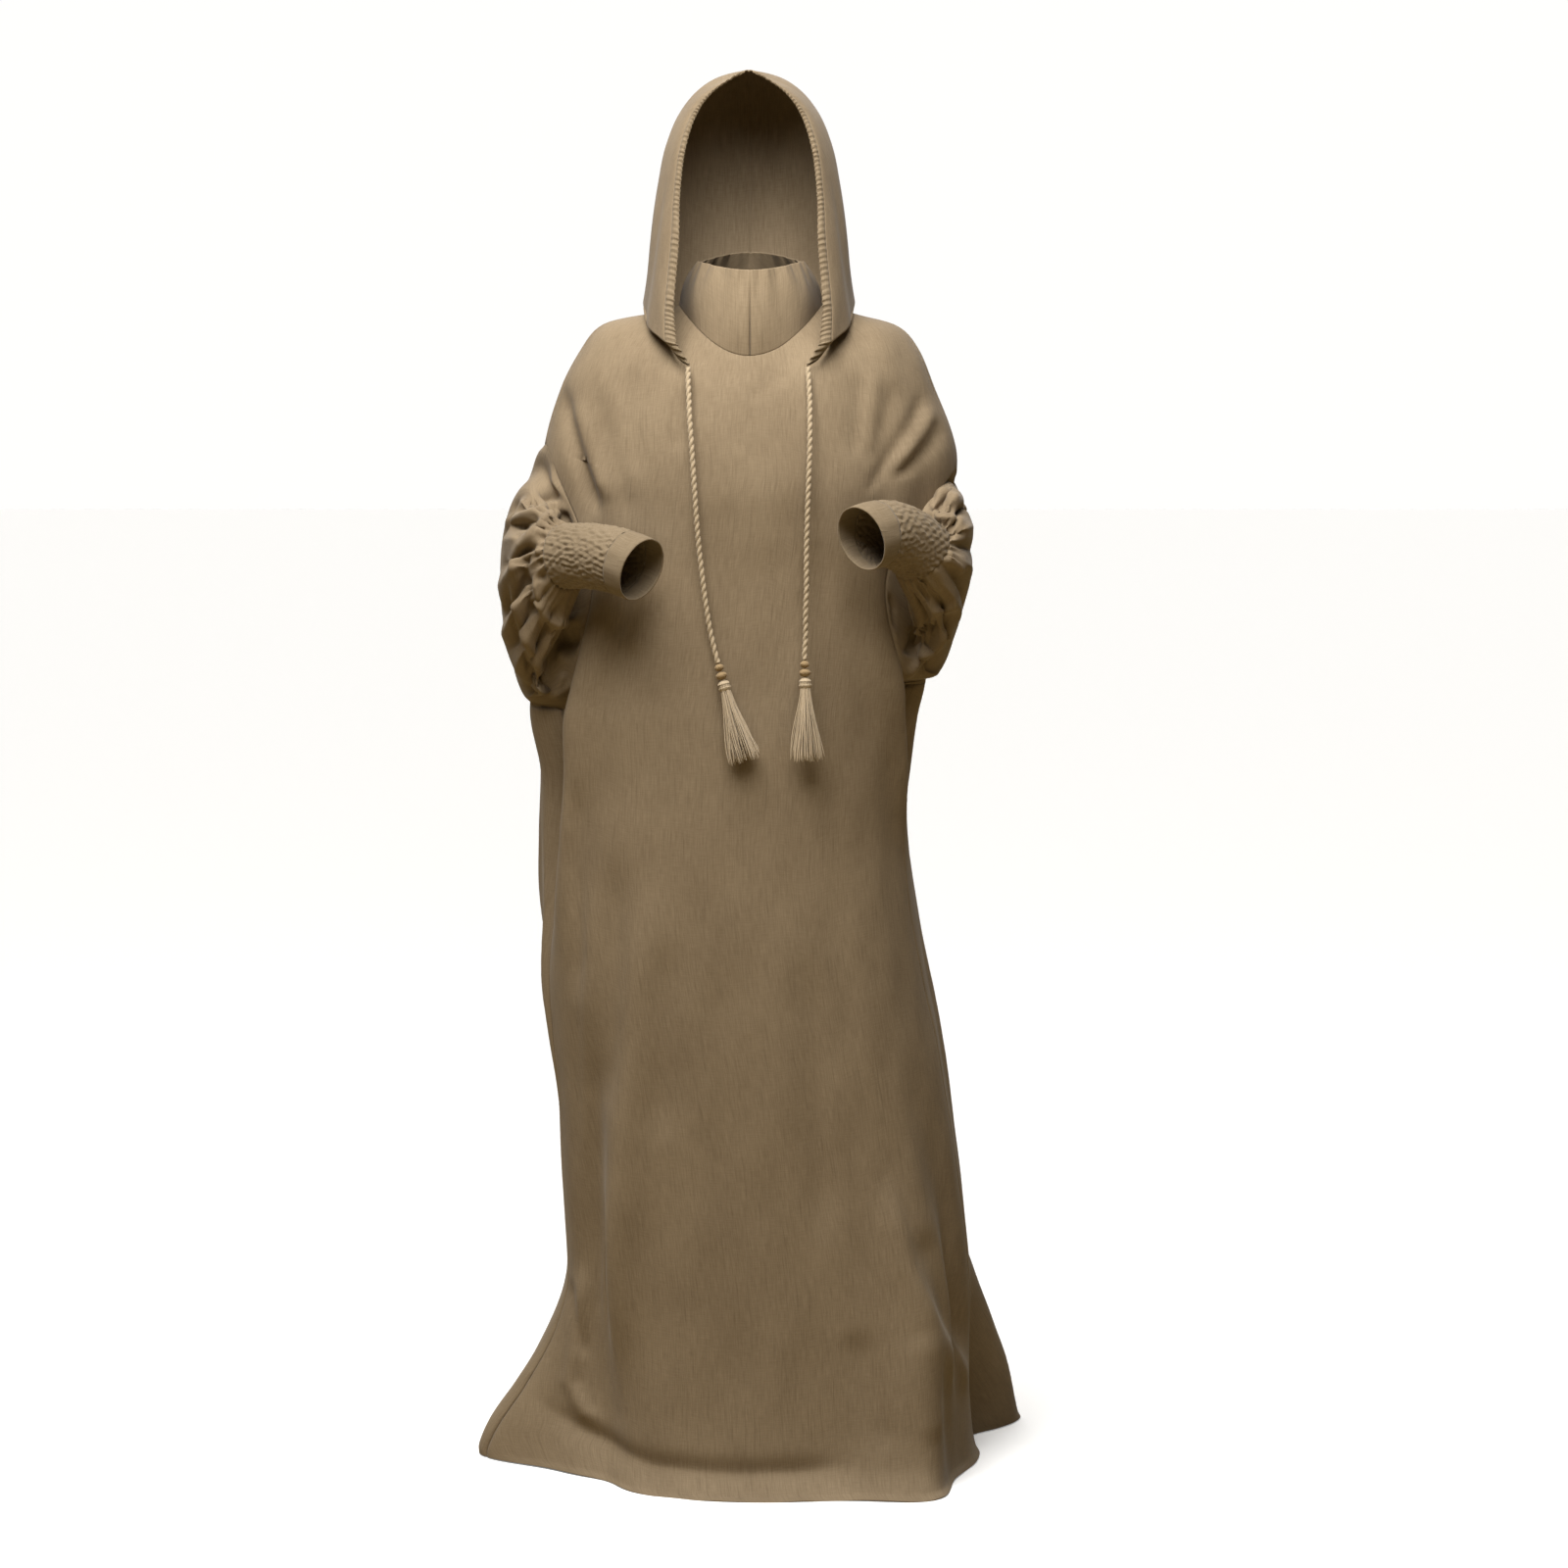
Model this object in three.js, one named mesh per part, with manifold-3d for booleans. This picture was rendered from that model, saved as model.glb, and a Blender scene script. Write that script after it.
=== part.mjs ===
import * as THREE from 'three';
import { mergeVertices } from 'three/addons/utils/BufferGeometryUtils.js';
import Module from 'manifold-3d';

// A long hooded dress of linen-like cloth, as it hangs on a standing figure with both forearms
// held in front. Millimetres. The dress faces -Y, left is -X, and +Z is up.
// Heights in the tables are above the floor. The finished group is lowered so that its origin
// lies between the shoulders.

const wall = 1.6; // cloth of every panel
const seam = 0.3; // gap between two pieces that are sewn together
const shoulderHeight = 1370;

const bodyColumns = 18; // across each body panel
const armholeSteps = 12; // up each side of an armhole
const sleeveColumns = 4 * armholeSteps; // round a sleeve and its cuff
const neckPath = 1490; // way up the cloth from the hem to the neckline
const hoodPath = 1445; // way up the cloth to the foot of the hood

const ventHeight = 95; // slit at the foot of the right side seam
const ventAngle = 5;

const cloth = { color: 0x84725a, roughness: 0.92, metalness: 0 };
const cuffCloth = { color: 0x8b7860, roughness: 0.95, metalness: 0 };
const cordYarn = { color: 0xc1ac91, roughness: 0.9, metalness: 0 };
const beadYarn = { color: 0xa98f6c, roughness: 0.85, metalness: 0 };

const radians = THREE.MathUtils.degToRad;
const mix = THREE.MathUtils.lerp;
const smooth = (t) => THREE.MathUtils.smoothstep(t, 0, 1);
const vector = (x, y, z) => new THREE.Vector3(x, y, z);
const steps = (count) => Array.from({ length: count + 1 }, (_, i) => i / count);

// Rows of numbers as objects, one name a column.
function table(columns, rows) {
  const names = columns.split(' ');
  return rows.map((row) => Object.fromEntries(names.map((name, i) => [name, row[i]])));
}

// A table's row at a value of its key column, on a smooth curve through the rows.
function rowAt(rows, key, value) {
  const last = rows.length - 1;
  let i = 0;
  while (i < last - 1 && value > rows[i + 1][key]) i += 1;
  const [a, b, c, d] = [i - 1, i, i + 1, i + 2].map((n) => rows[Math.min(Math.max(n, 0), last)]);
  const span = c[key] - b[key];
  const t = Math.min(Math.max((value - b[key]) / span, 0), 1);
  const curve = (name) => {
    const slopeB = ((c[name] - a[name]) / (c[key] - a[key])) * span;
    const slopeC = ((d[name] - b[name]) / (d[key] - b[key])) * span;
    const rise = c[name] - b[name];
    return b[name] + t * (slopeB + t * (3 * rise - 2 * slopeB - slopeC + t * (slopeB + slopeC - 2 * rise)));
  };
  return Object.fromEntries(Object.keys(b).map((name) => [name, name === key ? value : curve(name)]));
}

// Body tube: rings from the hem up to the neckline. side, front and back are heights.
const bodyRings = table('path side front back left right frontY backY square', [
  [0, 1, 1, 1, -246, 282, -250, 265, 2.1],
  [14, 11, 5, 9, -247, 277, -233, 257, 2.1],
  [40, 38, 30, 36, -241, 272, -214, 248, 2.15],
  [90, 89, 82, 88, -228, 268, -203, 238, 2.2],
  [220, 220, 218, 220, -222, 268, -190, 216, 2.3],
  [340, 340, 340, 340, -229, 257, -183, 204, 2.3],
  [460, 460, 460, 460, -234, 239, -179, 194, 2.3],
  [520, 520, 520, 520, -241, 229, -177, 190, 2.3],
  [600, 600, 600, 600, -248, 213, -174, 184, 2.3],
  [680, 680, 680, 680, -252, 200, -171, 178, 2.3],
  [760, 760, 760, 760, -252, 193, -169, 172, 2.25],
  [840, 840, 840, 840, -253, 199, -166, 164, 2.2],
  [905, 905, 905, 905, -264, 206, -164, 160, 2.15],
  [945, 945, 945, 945, -262, 214, -162, 157, 2.1],
  [1070, 1070, 1070, 1070, -251, 226, -158, 150, 2],
  [1150, 1150, 1133, 1140, -247, 233, -161, 145, 2],
  [1225, 1225, 1182, 1202, -247, 245, -163, 139, 2],
  [1300, 1300, 1234, 1262, -227, 223, -156, 130, 2],
  [1350, 1346, 1268, 1305, -203, 203, -147, 121, 2],
  [1400, 1375, 1296, 1340, -174, 176, -136, 109, 2],
  [1445, 1388, 1317, 1368, -119, 124, -122, 95, 2],
  [1490, 1399, 1336, 1390, -84, 88, -108, 78, 2],
]);

// Where the side and shoulder seams run, in degrees from centre front.
const seamAngles = table('path left right', [
  [0, 84, 96],
  [110, 82, 88],
  [300, 80, 82],
  [600, 76, 76],
  [930, 70, 70],
  [1080, 72, 72],
  [1230, 82, 82],
  [1320, 82, 82],
  [1490, 90, 90],
]);

// Largest folds of the body. Angles are in degrees from centre front, right side positive.
// A fold runs from low to high along the cloth and is strongest at peak; push is outward.
const bodyFolds = table('low peak high lowAngle highAngle width push', [
  [-1, 0, 245, -88, -88, 13, 85], // left hem thrown out to a tip
  [-1, 0, 360, -50, -58, 11, -20],
  [-1, 0, 420, 38, 37, 13, 54], // front right hem corner
  [-1, 0, 300, 103, 100, 8, -28],
  [-1, 0, 310, 119, 108, 13, 104], // right back hem lobe
  [560, 900, 1120, -66, -36, 8, 13], // front lobe, left edge and the hollow behind it
  [560, 900, 1150, -82, -52, 8, -34],
  [720, 930, 1120, 82, 36, 8, 12], // front lobe, right edge and the hollow behind it
  [720, 930, 1150, 97, 51, 8, -28],
  [0, 330, 640, -48, -30, 7, 8], // long ridge of the left skirt
  [0, 330, 640, -64, -46, 8, -10],
  [0, 230, 520, 62, 40, 7, 8], // long ridge of the right skirt
  [0, 230, 520, 76, 56, 8, -12],
  [1040, 1200, 1370, -40, -62, 5, -9], // pulls from the shoulders to the cuffs
  [1060, 1190, 1340, 36, 46, 4, -7],
  [-1, 0, 820, 150, 154, 12, 30], // flutes of the back
  [-1, 0, 870, 184, 182, 13, 34],
  [-1, 0, 800, 216, 210, 12, 28],
  [-1, 0, 460, 246, 240, 11, 34],
]);

function foldPush(angle, path) {
  let push = 0;
  for (const fold of bodyFolds) {
    const rise = smooth((path - fold.low) / (fold.peak - fold.low));
    const fall = smooth((fold.high - path) / (fold.high - fold.peak));
    const along = THREE.MathUtils.clamp((path - fold.low) / (fold.high - fold.low), 0, 1);
    const centre = mix(fold.lowAngle, fold.highAngle, along);
    const off = THREE.MathUtils.euclideanModulo(angle - centre + 180, 360) - 180;
    push += fold.push * rise * fall * Math.exp(-((off / fold.width) ** 2));
  }
  return push;
}

// A point of the body's outer face: squared-off rings, pushed out or in by the folds.
function bodyPoint(angle, path) {
  const ring = rowAt(bodyRings, 'path', path);
  const across = Math.sin(radians(angle));
  const ahead = Math.cos(radians(angle));
  const power = 2 / ring.square;
  const middle = (ring.left + ring.right) / 2;
  const half = (ring.right - ring.left) / 2;
  const x = half * Math.sign(across) * Math.abs(across) ** power;
  const y = (ahead > 0 ? ring.frontY : ring.backY) * Math.abs(ahead) ** power;
  const z = mix(ring.side, ahead > 0 ? ring.front : ring.back, ahead * ahead);
  const push = foldPush(angle, path) / Math.hypot(x, y);
  return vector(middle + x * (1 + push), y * (1 + push), z);
}

// A point with its outward normal, from the way the surface runs along both of its parameters.
function sample(surface, u, v, du, dv) {
  const along = surface(u + du, v).sub(surface(u - du, v));
  const up = surface(u, v + dv).sub(surface(u, v - dv));
  return { point: surface(u, v), normal: along.cross(up).normalize() };
}

const bodySample = (angle, path) => sample(bodyPoint, angle, path, 0.5, 2);

const shifted = (from, direction, distance) => from.clone().addScaledVector(direction, distance);
const towards = (from, to) => to.clone().sub(from).normalize();
const between = (from, to, t) => from.clone().lerp(to, t);

// A sample's place on the inner face of the wall.
const under = ({ point, normal }) => shifted(point, normal, -wall);

// A closed solid between an outer and an inner grid of points, its rims closed all round.
function wallSolid(outer, inner, round) {
  const rows = outer.length;
  const columns = outer[0].length;
  const positions = [...outer.flat(), ...inner.flat()].flatMap((p) => p.toArray());
  const at = (layer, row, column) => (layer * rows + row) * columns + (column % columns);
  const indices = [];
  const quad = (a, b, c, d) => indices.push(a, b, c, a, c, d);
  const lastColumn = round ? columns : columns - 1;
  for (let row = 0; row < rows - 1; row += 1) {
    for (let column = 0; column < lastColumn; column += 1) {
      const next = column + 1;
      quad(at(0, row, column), at(0, row, next), at(0, row + 1, next), at(0, row + 1, column));
      quad(at(1, row, column), at(1, row + 1, column), at(1, row + 1, next), at(1, row, next));
    }
  }
  for (let column = 0; column < lastColumn; column += 1) {
    const next = column + 1;
    const top = rows - 1;
    quad(at(0, 0, next), at(0, 0, column), at(1, 0, column), at(1, 0, next));
    quad(at(0, top, column), at(0, top, next), at(1, top, next), at(1, top, column));
  }
  for (let row = 0; row < rows - 1 && !round; row += 1) {
    const side = columns - 1;
    quad(at(0, row, 0), at(0, row + 1, 0), at(1, row + 1, 0), at(1, row, 0));
    quad(at(0, row, side), at(1, row, side), at(1, row + 1, side), at(0, row + 1, side));
  }
  const geometry = new THREE.BufferGeometry();
  geometry.setAttribute('position', new THREE.Float32BufferAttribute(positions, 3));
  geometry.setIndex(volume(positions, indices) < 0 ? indices.reverse() : indices);
  return geometry;
}

function volume(positions, indices) {
  const corner = (i) => vector(...positions.slice(3 * i, 3 * i + 3));
  let sum = 0;
  for (let i = 0; i < indices.length; i += 3) {
    const [a, b, c] = [0, 1, 2].map((n) => corner(indices[i + n]));
    sum += a.dot(b.cross(c)) / 6;
  }
  return sum;
}

const garment = new THREE.Group();
garment.position.z = -shoulderHeight;

function addPiece(name, geometry, look) {
  const mesh = new THREE.Mesh(geometry, new THREE.MeshStandardMaterial(look));
  mesh.name = name;
  garment.add(mesh);
  return mesh;
}

// Body panels. Both sides have rows at the hem, round the armhole and over the shoulder, and
// a row runs from its left height to its right height.
const sides = {
  left: { sign: -1, underarm: 916, top: 1234 },
  right: { sign: 1, underarm: 945, top: 1202 },
};
const armholeFront = 24; // degrees from the side seam to the armhole's front and back edges
const armholeBack = 40;
const hemRows = [0, 14, 40, 90, 150, 220, 310, 410, 520, 640, 760, 850];
const shoulderRows = 4;

function sideRows({ underarm, top }) {
  const armhole = steps(armholeSteps).map((t) => {
    const turn = Math.PI * t;
    const path = (underarm + top) / 2 - ((top - underarm) / 2) * Math.cos(turn);
    return { path, open: Math.sin(turn) };
  });
  const shoulder = steps(shoulderRows).slice(1).map((t) => ({ path: mix(top, hoodPath, t), open: 0 }));
  const skirt = hemRows.map((path) => ({ path, open: 0 }));
  return [...skirt, ...armhole, ...shoulder, { path: neckPath, open: 0 }];
}

const rowsLeft = sideRows(sides.left);
const rowsRight = sideRows(sides.right);
const rowCount = rowsLeft.length;
const firstArmholeRow = hemRows.length;
const hoodRow = rowCount - 2;

// Columns stand closer at the side seams, where the folds are.
const crowding = 0.09;
const columnPlaces = steps(bodyColumns).map((t) => t - crowding * Math.sin(2 * Math.PI * t));

const ventOpen = (path) => ventAngle * Math.max(0, 1 - path / ventHeight);

function panelGrid(isFront) {
  return rowsLeft.map((leftRow, row) => {
    const rightRow = rowsRight[row];
    const seamLeft = rowAt(seamAngles, 'path', leftRow.path).left;
    const seamRight = rowAt(seamAngles, 'path', rightRow.path).right;
    const [first, last] = isFront
      ? [armholeFront * leftRow.open - seamLeft, seamRight - armholeFront * rightRow.open]
      : [seamRight + armholeBack * rightRow.open, 360 - seamLeft - armholeBack * leftRow.open];
    const samples = columnPlaces.map((place) => {
      const path = mix(leftRow.path, rightRow.path, isFront ? place : 1 - place);
      const vent = isFront ? 0 : ventOpen(path) * (1 - place);
      return bodySample(mix(first, last, place) + vent, path);
    });
    const count = samples.length - 1;
    for (const [edge, beside] of [[0, 1], [count, count - 1]]) {
      const inward = towards(samples[edge].point, samples[beside].point);
      samples[edge].point.addScaledVector(inward, seam / 2);
    }
    return samples;
  });
}

const points = (grid) => grid.map((row) => row.map(({ point }) => point));
const inners = (grid) => grid.map((row) => row.map(under));

const frontGrid = panelGrid(true);
const backGrid = panelGrid(false);
addPiece('front_panel', wallSolid(points(frontGrid), inners(frontGrid), false), cloth);
addPiece('back_panel', wallSolid(points(backGrid), inners(backGrid), false), cloth);

const middleSample = (a, b) => ({
  point: between(a.point, b.point, 0.5),
  normal: a.normal.clone().add(b.normal).normalize(),
});

// The armhole's rim, from its top down the front edge and back up the back edge, with a point
// halfway along each stretch for the sleeve's extra columns.
function armholeRim(isLeft) {
  const edge = (grid, atStart, row) => grid[row][atStart ? 0 : bodyColumns];
  const front = (row) => edge(frontGrid, isLeft, row);
  const back = (row) => edge(backGrid, !isLeft, row);
  const low = firstArmholeRow;
  const high = firstArmholeRow + armholeSteps;
  const rim = [middleSample(front(high), back(high))];
  for (let row = high - 1; row > low; row -= 1) rim.push(front(row));
  rim.push(middleSample(front(low), back(low)));
  for (let row = low + 1; row < high; row += 1) rim.push(back(row));
  return rim.flatMap((corner, i) => [corner, middleSample(corner, rim[(i + 1) % rim.length])]);
}

// Sleeves: upright rings that turn like the pages of a book, from facing outward at the armhole
// to facing inward at the cuff. out is the distance from the dress's middle, more by lean at a
// page's top and less at its bottom; its bottom is further forward by sag; turn is in degrees.
const sleevePages = {
  left: table('along out lean y sag half turn top bottom', [
    [0.18, 257, -7, -12, 28, 79, 25, 1203, 927],
    [0.36, 262, 0, -40, 12, 69, 35, 1184, 940],
    [0.52, 260, 0, -72, 0, 53, 52, 1174, 952],
    [0.68, 253, 0, -102, 0, 38, 80, 1162, 974],
    [0.84, 238, 0, -130, 0, 40, 112, 1150, 1010],
  ]),
  right: table('along out lean y sag half turn top bottom', [
    [0.18, 223, 3, -14, 27, 76, 24, 1192, 954],
    [0.36, 228, 10, -44, 10, 64, 34, 1187, 966],
    [0.52, 228, 12, -74, 0, 50, 52, 1182, 986],
    [0.68, 225, 8, -103, 0, 39, 80, 1173, 1008],
    [0.84, 217.5, 8, -131, 0, 40, 112, 1158, 1034],
  ]),
};

// Folds of the sleeves: place along the sleeve and round it in degrees from the top, by the
// front; push is outward.
const sleeveFolds = {
  left: table('along alongWidth around aroundWidth push', [
    [0.5, 0.07, 300, 42, -15],
    [0.62, 0.06, 285, 40, 7],
    [0.74, 0.06, 262, 36, -9],
    [0.34, 0.09, 240, 32, -9],
    [0.86, 0.08, 225, 40, 9],
  ]),
  right: table('along alongWidth around aroundWidth push', [
    [0.46, 0.07, 310, 34, -10],
    [0.6, 0.07, 250, 40, -11],
    [0.72, 0.07, 235, 34, 7],
    [0.86, 0.08, 215, 36, 8],
  ]),
};

// Cuffs: round tubes from the sleeve's gathers to the wrist, bent at the middle of the curve.
const cuffs = {
  left: {
    start: vector(214, -150, 1101),
    bend: vector(168, -187, 1108),
    end: vector(122, -221, 1088),
    radius: 38,
  },
  right: {
    start: vector(203, -152, 1106),
    bend: vector(170, -186, 1140),
    end: vector(131, -221, 1124),
    radius: 38.5,
  },
};
const bandWidth = 27;
const gathers = 16; // folds that the cuff draws together
const gatherDepth = 2.6;
const gatherStart = 0.62; // place along the sleeve where the gathers begin
const smockRows = 3;
const smockRelief = 1.1;

const aroundAt = (column) => (360 * column) / sleeveColumns;

function mirrored(sign, point) {
  return vector(sign * point.x, point.y, point.z);
}

const cuffCurve = ({ start, bend, end }) => new THREE.QuadraticBezierCurve3(start, bend, end);

// A point round a cuff, at a distance along it from its start.
function cuffPoint(cuff, distance, column, radius) {
  const curve = cuffCurve(cuff);
  const along = THREE.MathUtils.clamp(distance / curve.getLength(), 0, 1);
  const axis = curve.getTangentAt(along);
  const level = vector(-axis.y, axis.x, 0).normalize();
  const up = level.clone().cross(axis).normalize();
  const turn = radians(aroundAt(column));
  const centre = shifted(curve.getPointAt(along), axis, Math.min(distance, 0));
  const sideways = shifted(centre, level, -radius * Math.sin(turn));
  return shifted(sideways, up, radius * Math.cos(turn) * Math.sign(up.z));
}

function pagePoint(page, column) {
  const turn = radians(aroundAt(column));
  const reach = -page.half * Math.sin(turn);
  const z = mix(page.bottom, page.top, (1 + Math.cos(turn)) / 2);
  const out = page.out + page.lean * Math.cos(turn);
  const y = page.y - page.sag * Math.min(Math.cos(turn), 0) ** 2;
  const facing = radians(page.turn);
  return vector(out + reach * Math.sin(facing), y + reach * Math.cos(facing), z);
}

// A point on a smooth curve through the sleeve's control rings.
function throughRings(rings, along) {
  const rows = rings.map(({ at, point }) => ({ at, x: point.x, y: point.y, z: point.z }));
  const { x, y, z } = rowAt(rows, 'at', along);
  return vector(x, y, z);
}

const sleeveRows = [0.06, 0.18, 0.3, 0.41, 0.5, 0.6, 0.7, 0.8, 0.91];

function makeSleeve(side) {
  const { sign } = sides[side];
  const cuff = cuffs[side];
  const rim = armholeRim(side === 'left');
  const hub = rim.reduce((sum, { point }) => sum.add(point), vector(0, 0, 0)).divideScalar(rim.length);
  const rimOuter = rim.map(({ point, normal }) => (
    shifted(point, towards(point, hub).projectOnPlane(normal).normalize(), seam)));
  const rimInner = rim.map(({ normal }, i) => shifted(rimOuter[i], normal, -wall));

  const columns = Array.from({ length: sleeveColumns }, (_, i) => i);
  const controls = columns.map((column) => [
    { at: 0, point: mirrored(sign, rimOuter[column]) },
    ...sleevePages[side].map((page) => ({ at: page.along, point: pagePoint(page, column) })),
    { at: 1, point: cuffPoint(cuff, -seam, column, cuff.radius) },
  ]);
  const plain = (along, column) => {
    const whole = THREE.MathUtils.euclideanModulo(column, sleeveColumns);
    return throughRings(controls[whole], Math.min(Math.max(along, 0), 1));
  };
  const normalAt = (surface, along, column) => {
    const { normal } = sample(surface, column, along, 1, 0.01);
    const middle = between(surface(column, along), surface(column + sleeveColumns / 2, along), 0.5);
    return normal.dot(towards(middle, surface(column, along))) < 0 ? normal.negate() : normal;
  };
  const plainSurface = (column, along) => plain(along, column);
  const folded = (column, along) => {
    const off = (fold) => THREE.MathUtils.euclideanModulo(aroundAt(column) - fold.around + 180, 360) - 180;
    const push = sleeveFolds[side].reduce((sum, fold) => sum + fold.push
      * Math.exp(-(((along - fold.along) / fold.alongWidth) ** 2) - (off(fold) / fold.aroundWidth) ** 2), 0);
    return shifted(plain(along, column), normalAt(plainSurface, along, column), push);
  };
  const wave = (column) => Math.cos(radians(gathers * aroundAt(column)));
  const drawn = (along) => gatherDepth * smooth((along - gatherStart) / (1 - gatherStart));
  const rows = sleeveRows.map((along) => columns.map((column) => {
    const normal = normalAt(folded, along, column);
    return { point: shifted(folded(column, along), normal, drawn(along) * wave(column)), normal };
  }));
  const endOuter = columns.map((column) => (
    cuffPoint(cuff, -seam, column, cuff.radius + gatherDepth * wave(column))));
  const endInner = columns.map((column) => (
    cuffPoint(cuff, -seam, column, cuff.radius + gatherDepth * wave(column) - wall)));

  const place = (point) => mirrored(sign, point);
  const outer = [rimOuter, ...points(rows).map((row) => row.map(place)), endOuter.map(place)];
  const inner = [rimInner, ...inners(rows).map((row) => row.map(place)), endInner.map(place)];
  addPiece(`sleeve_${side}`, wallSolid(outer, inner, true), cloth);
}

// The smocked cuff is raised in small lozenges over a plain inside; the band is plain.
function makeCuff(side) {
  const { sign } = sides[side];
  const cuff = cuffs[side];
  const length = cuffCurve(cuff).getLength();
  const smocked = length - bandWidth;
  const columns = Array.from({ length: sleeveColumns }, (_, i) => i);
  const ring = (distance, radiusAt) => columns.map((column) => (
    mirrored(sign, cuffPoint(cuff, distance, column, radiusAt(column)))));
  const inside = cuff.radius - wall;
  const raised = (row) => (column) => {
    const atEnd = row === 0 || row === smockRows;
    const bump = atEnd ? 0 : Math.max(0, Math.cos(radians(90 * column + 180 * row)));
    return cuff.radius - smockRelief / 2 + smockRelief * bump;
  };
  const places = steps(smockRows).map((t) => t * (smocked - seam / 2));
  const outer = places.map((distance, row) => ring(distance, raised(row)));
  const inner = places.map((distance) => ring(distance, () => inside));
  addPiece(`cuff_${side}`, wallSolid(outer, inner, true), cuffCloth);

  const bandPlaces = [smocked + seam / 2, length];
  const bandOuter = bandPlaces.map((distance) => ring(distance, () => cuff.radius));
  const bandInner = bandPlaces.map((distance) => ring(distance, () => inside));
  addPiece(`cuff_band_${side}`, wallSolid(bandOuter, bandInner, true), cuffCloth);
}

for (const side of ['left', 'right']) {
  makeSleeve(side);
  makeCuff(side);
}

// The neckline, from centre front round one side to centre back, through the same columns as
// the body panels' top rows.
function neckColumns(isLeft, row) {
  const middle = bodyColumns / 2;
  const front = frontGrid[row];
  const back = backGrid[row];
  const count = Array.from({ length: middle }, (_, i) => i);
  const frontHalf = count.map((i) => front[isLeft ? middle - i : middle + i]);
  const backHalf = count.map((i) => back[isLeft ? middle + i : middle - i]).reverse();
  const sideFront = front[isLeft ? 0 : bodyColumns];
  const sideBack = back[isLeft ? bodyColumns : 0];
  return [...frontHalf, middleSample(sideFront, sideBack), ...backHalf];
}

// Collar: a high funnel that leans in to the neck and is gathered along its top edge.
const collarTop = { half: 63, frontY: -90, backY: 54, front: 1437, side: 1450, back: 1464 };
const collarBulge = 5;
const collarGathers = bodyColumns; // round the whole top edge
const collarGatherDepth = 1.8;
const collarRows = [0.3, 0.72, 1];
const centreX = 2; // the neckline's middle

function makeCollar(side) {
  const { sign } = sides[side];
  const neck = neckColumns(side === 'left', rowCount - 1);
  const last = neck.length - 1;
  const topPoint = (t) => {
    const turn = Math.PI * t;
    const ahead = Math.cos(turn);
    const y = ahead > 0 ? collarTop.frontY : collarTop.backY;
    const edge = ahead > 0 ? collarTop.front : collarTop.back;
    return vector(centreX + sign * collarTop.half * Math.sin(turn), y * Math.abs(ahead) ** 0.9,
      mix(collarTop.side, edge, ahead * ahead));
  };
  const away = (t) => vector(sign * Math.sin(Math.PI * t), -Math.cos(Math.PI * t), 0);
  const surface = (t, height) => {
    const column = t * last;
    const low = Math.min(Math.floor(column), last - 1);
    const foot = between(neck[low].point, neck[low + 1].point, column - low);
    const bulge = collarBulge * Math.sin(Math.PI * height);
    return shifted(between(foot, topPoint(t), height), away(t), bulge);
  };
  const shut = (t) => Math.min(t, 1 - t) * last < 0.5; // the two seams where the halves meet
  const offSeam = (point, t) => (shut(t) ? vector(centreX + (sign * seam) / 2, point.y, point.z) : point);
  const rows = collarRows.map((height) => steps(last).map((t) => {
    const gather = Math.cos(Math.PI * collarGathers * t) * collarGatherDepth * smooth((height - 0.4) / 0.6);
    const point = offSeam(shifted(surface(t, height), away(t), gather), t);
    return { point, inner: offSeam(shifted(point, away(t), -wall), t) };
  }));
  const lift = (t) => towards(surface(t, 0), surface(t, 0.3));
  const footOuter = neck.map(({ point }, i) => offSeam(shifted(point, lift(i / last), seam), i / last));
  const footInner = neck.map((entry, i) => offSeam(shifted(under(entry), lift(i / last), seam), i / last));
  const outer = [footOuter, ...rows.map((row) => row.map(({ point }) => point))];
  const inner = [footInner, ...rows.map((row) => row.map((entry) => entry.inner))];
  addPiece(`collar_${side}`, wallSolid(outer, inner, false), cloth);
}

// Hood: rows from its foot on the shoulders up to the peak. Each row runs from the centre seam
// by the widest place to the face edge, whose lower corner hangs forward in a flap.
const hoodRings = table('up backY back wide wideY wideZ faceX faceY face', [
  [0.07, 100, 1386, 127, 5, 1402, 84, -128, 1350],
  [0.2, 118, 1430, 122, 6, 1440, 87, -112, 1395],
  [0.35, 142, 1490, 115, 10, 1496, 82, -88, 1465],
  [0.5, 158, 1550, 107, 15, 1545, 81, -62, 1525],
  [0.65, 155, 1610, 98, 20, 1590, 75, -42, 1580],
  [0.78, 125, 1655, 82, 22, 1628, 62, -26, 1622],
  [0.9, 70, 1678, 54, 18, 1656, 42, -17, 1650],
  [1, -8, 1677, 5, -10, 1675.5, 7, -12, 1674],
]);
const flapTip = vector(69, -131, 1323);
const flapBow = 8; // how far the flap's lower edge bows outward
const flapAngle = 50; // where the hood's lower edge leaves the shoulder
const hoodMiddle = vector(0, 20, 1480);
const hoodRows = steps(11);
const casingPlace = 0.9; // where the panel ends and the casing begins, along a row
const casingWaves = 3; // columns of the casing for each row of the panel
const casingRuffle = 1.6;

// A point of one upper row: a quarter round from the centre seam to the widest place, and a
// quarter round on to the face edge.
function hoodRing(ring, t) {
  const turn = Math.PI * t;
  const across = Math.sin(turn);
  const away = Math.cos(turn);
  if (t < 0.5) {
    const y = mix(ring.wideY, ring.backY, away ** 0.9);
    return vector(ring.wide * across ** 0.9, y, mix(ring.wideZ, ring.back, away));
  }
  const y = mix(ring.wideY, ring.faceY, -away);
  return vector(mix(ring.faceX, ring.wide, across), y, mix(ring.wideZ, ring.face, -away));
}

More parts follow.
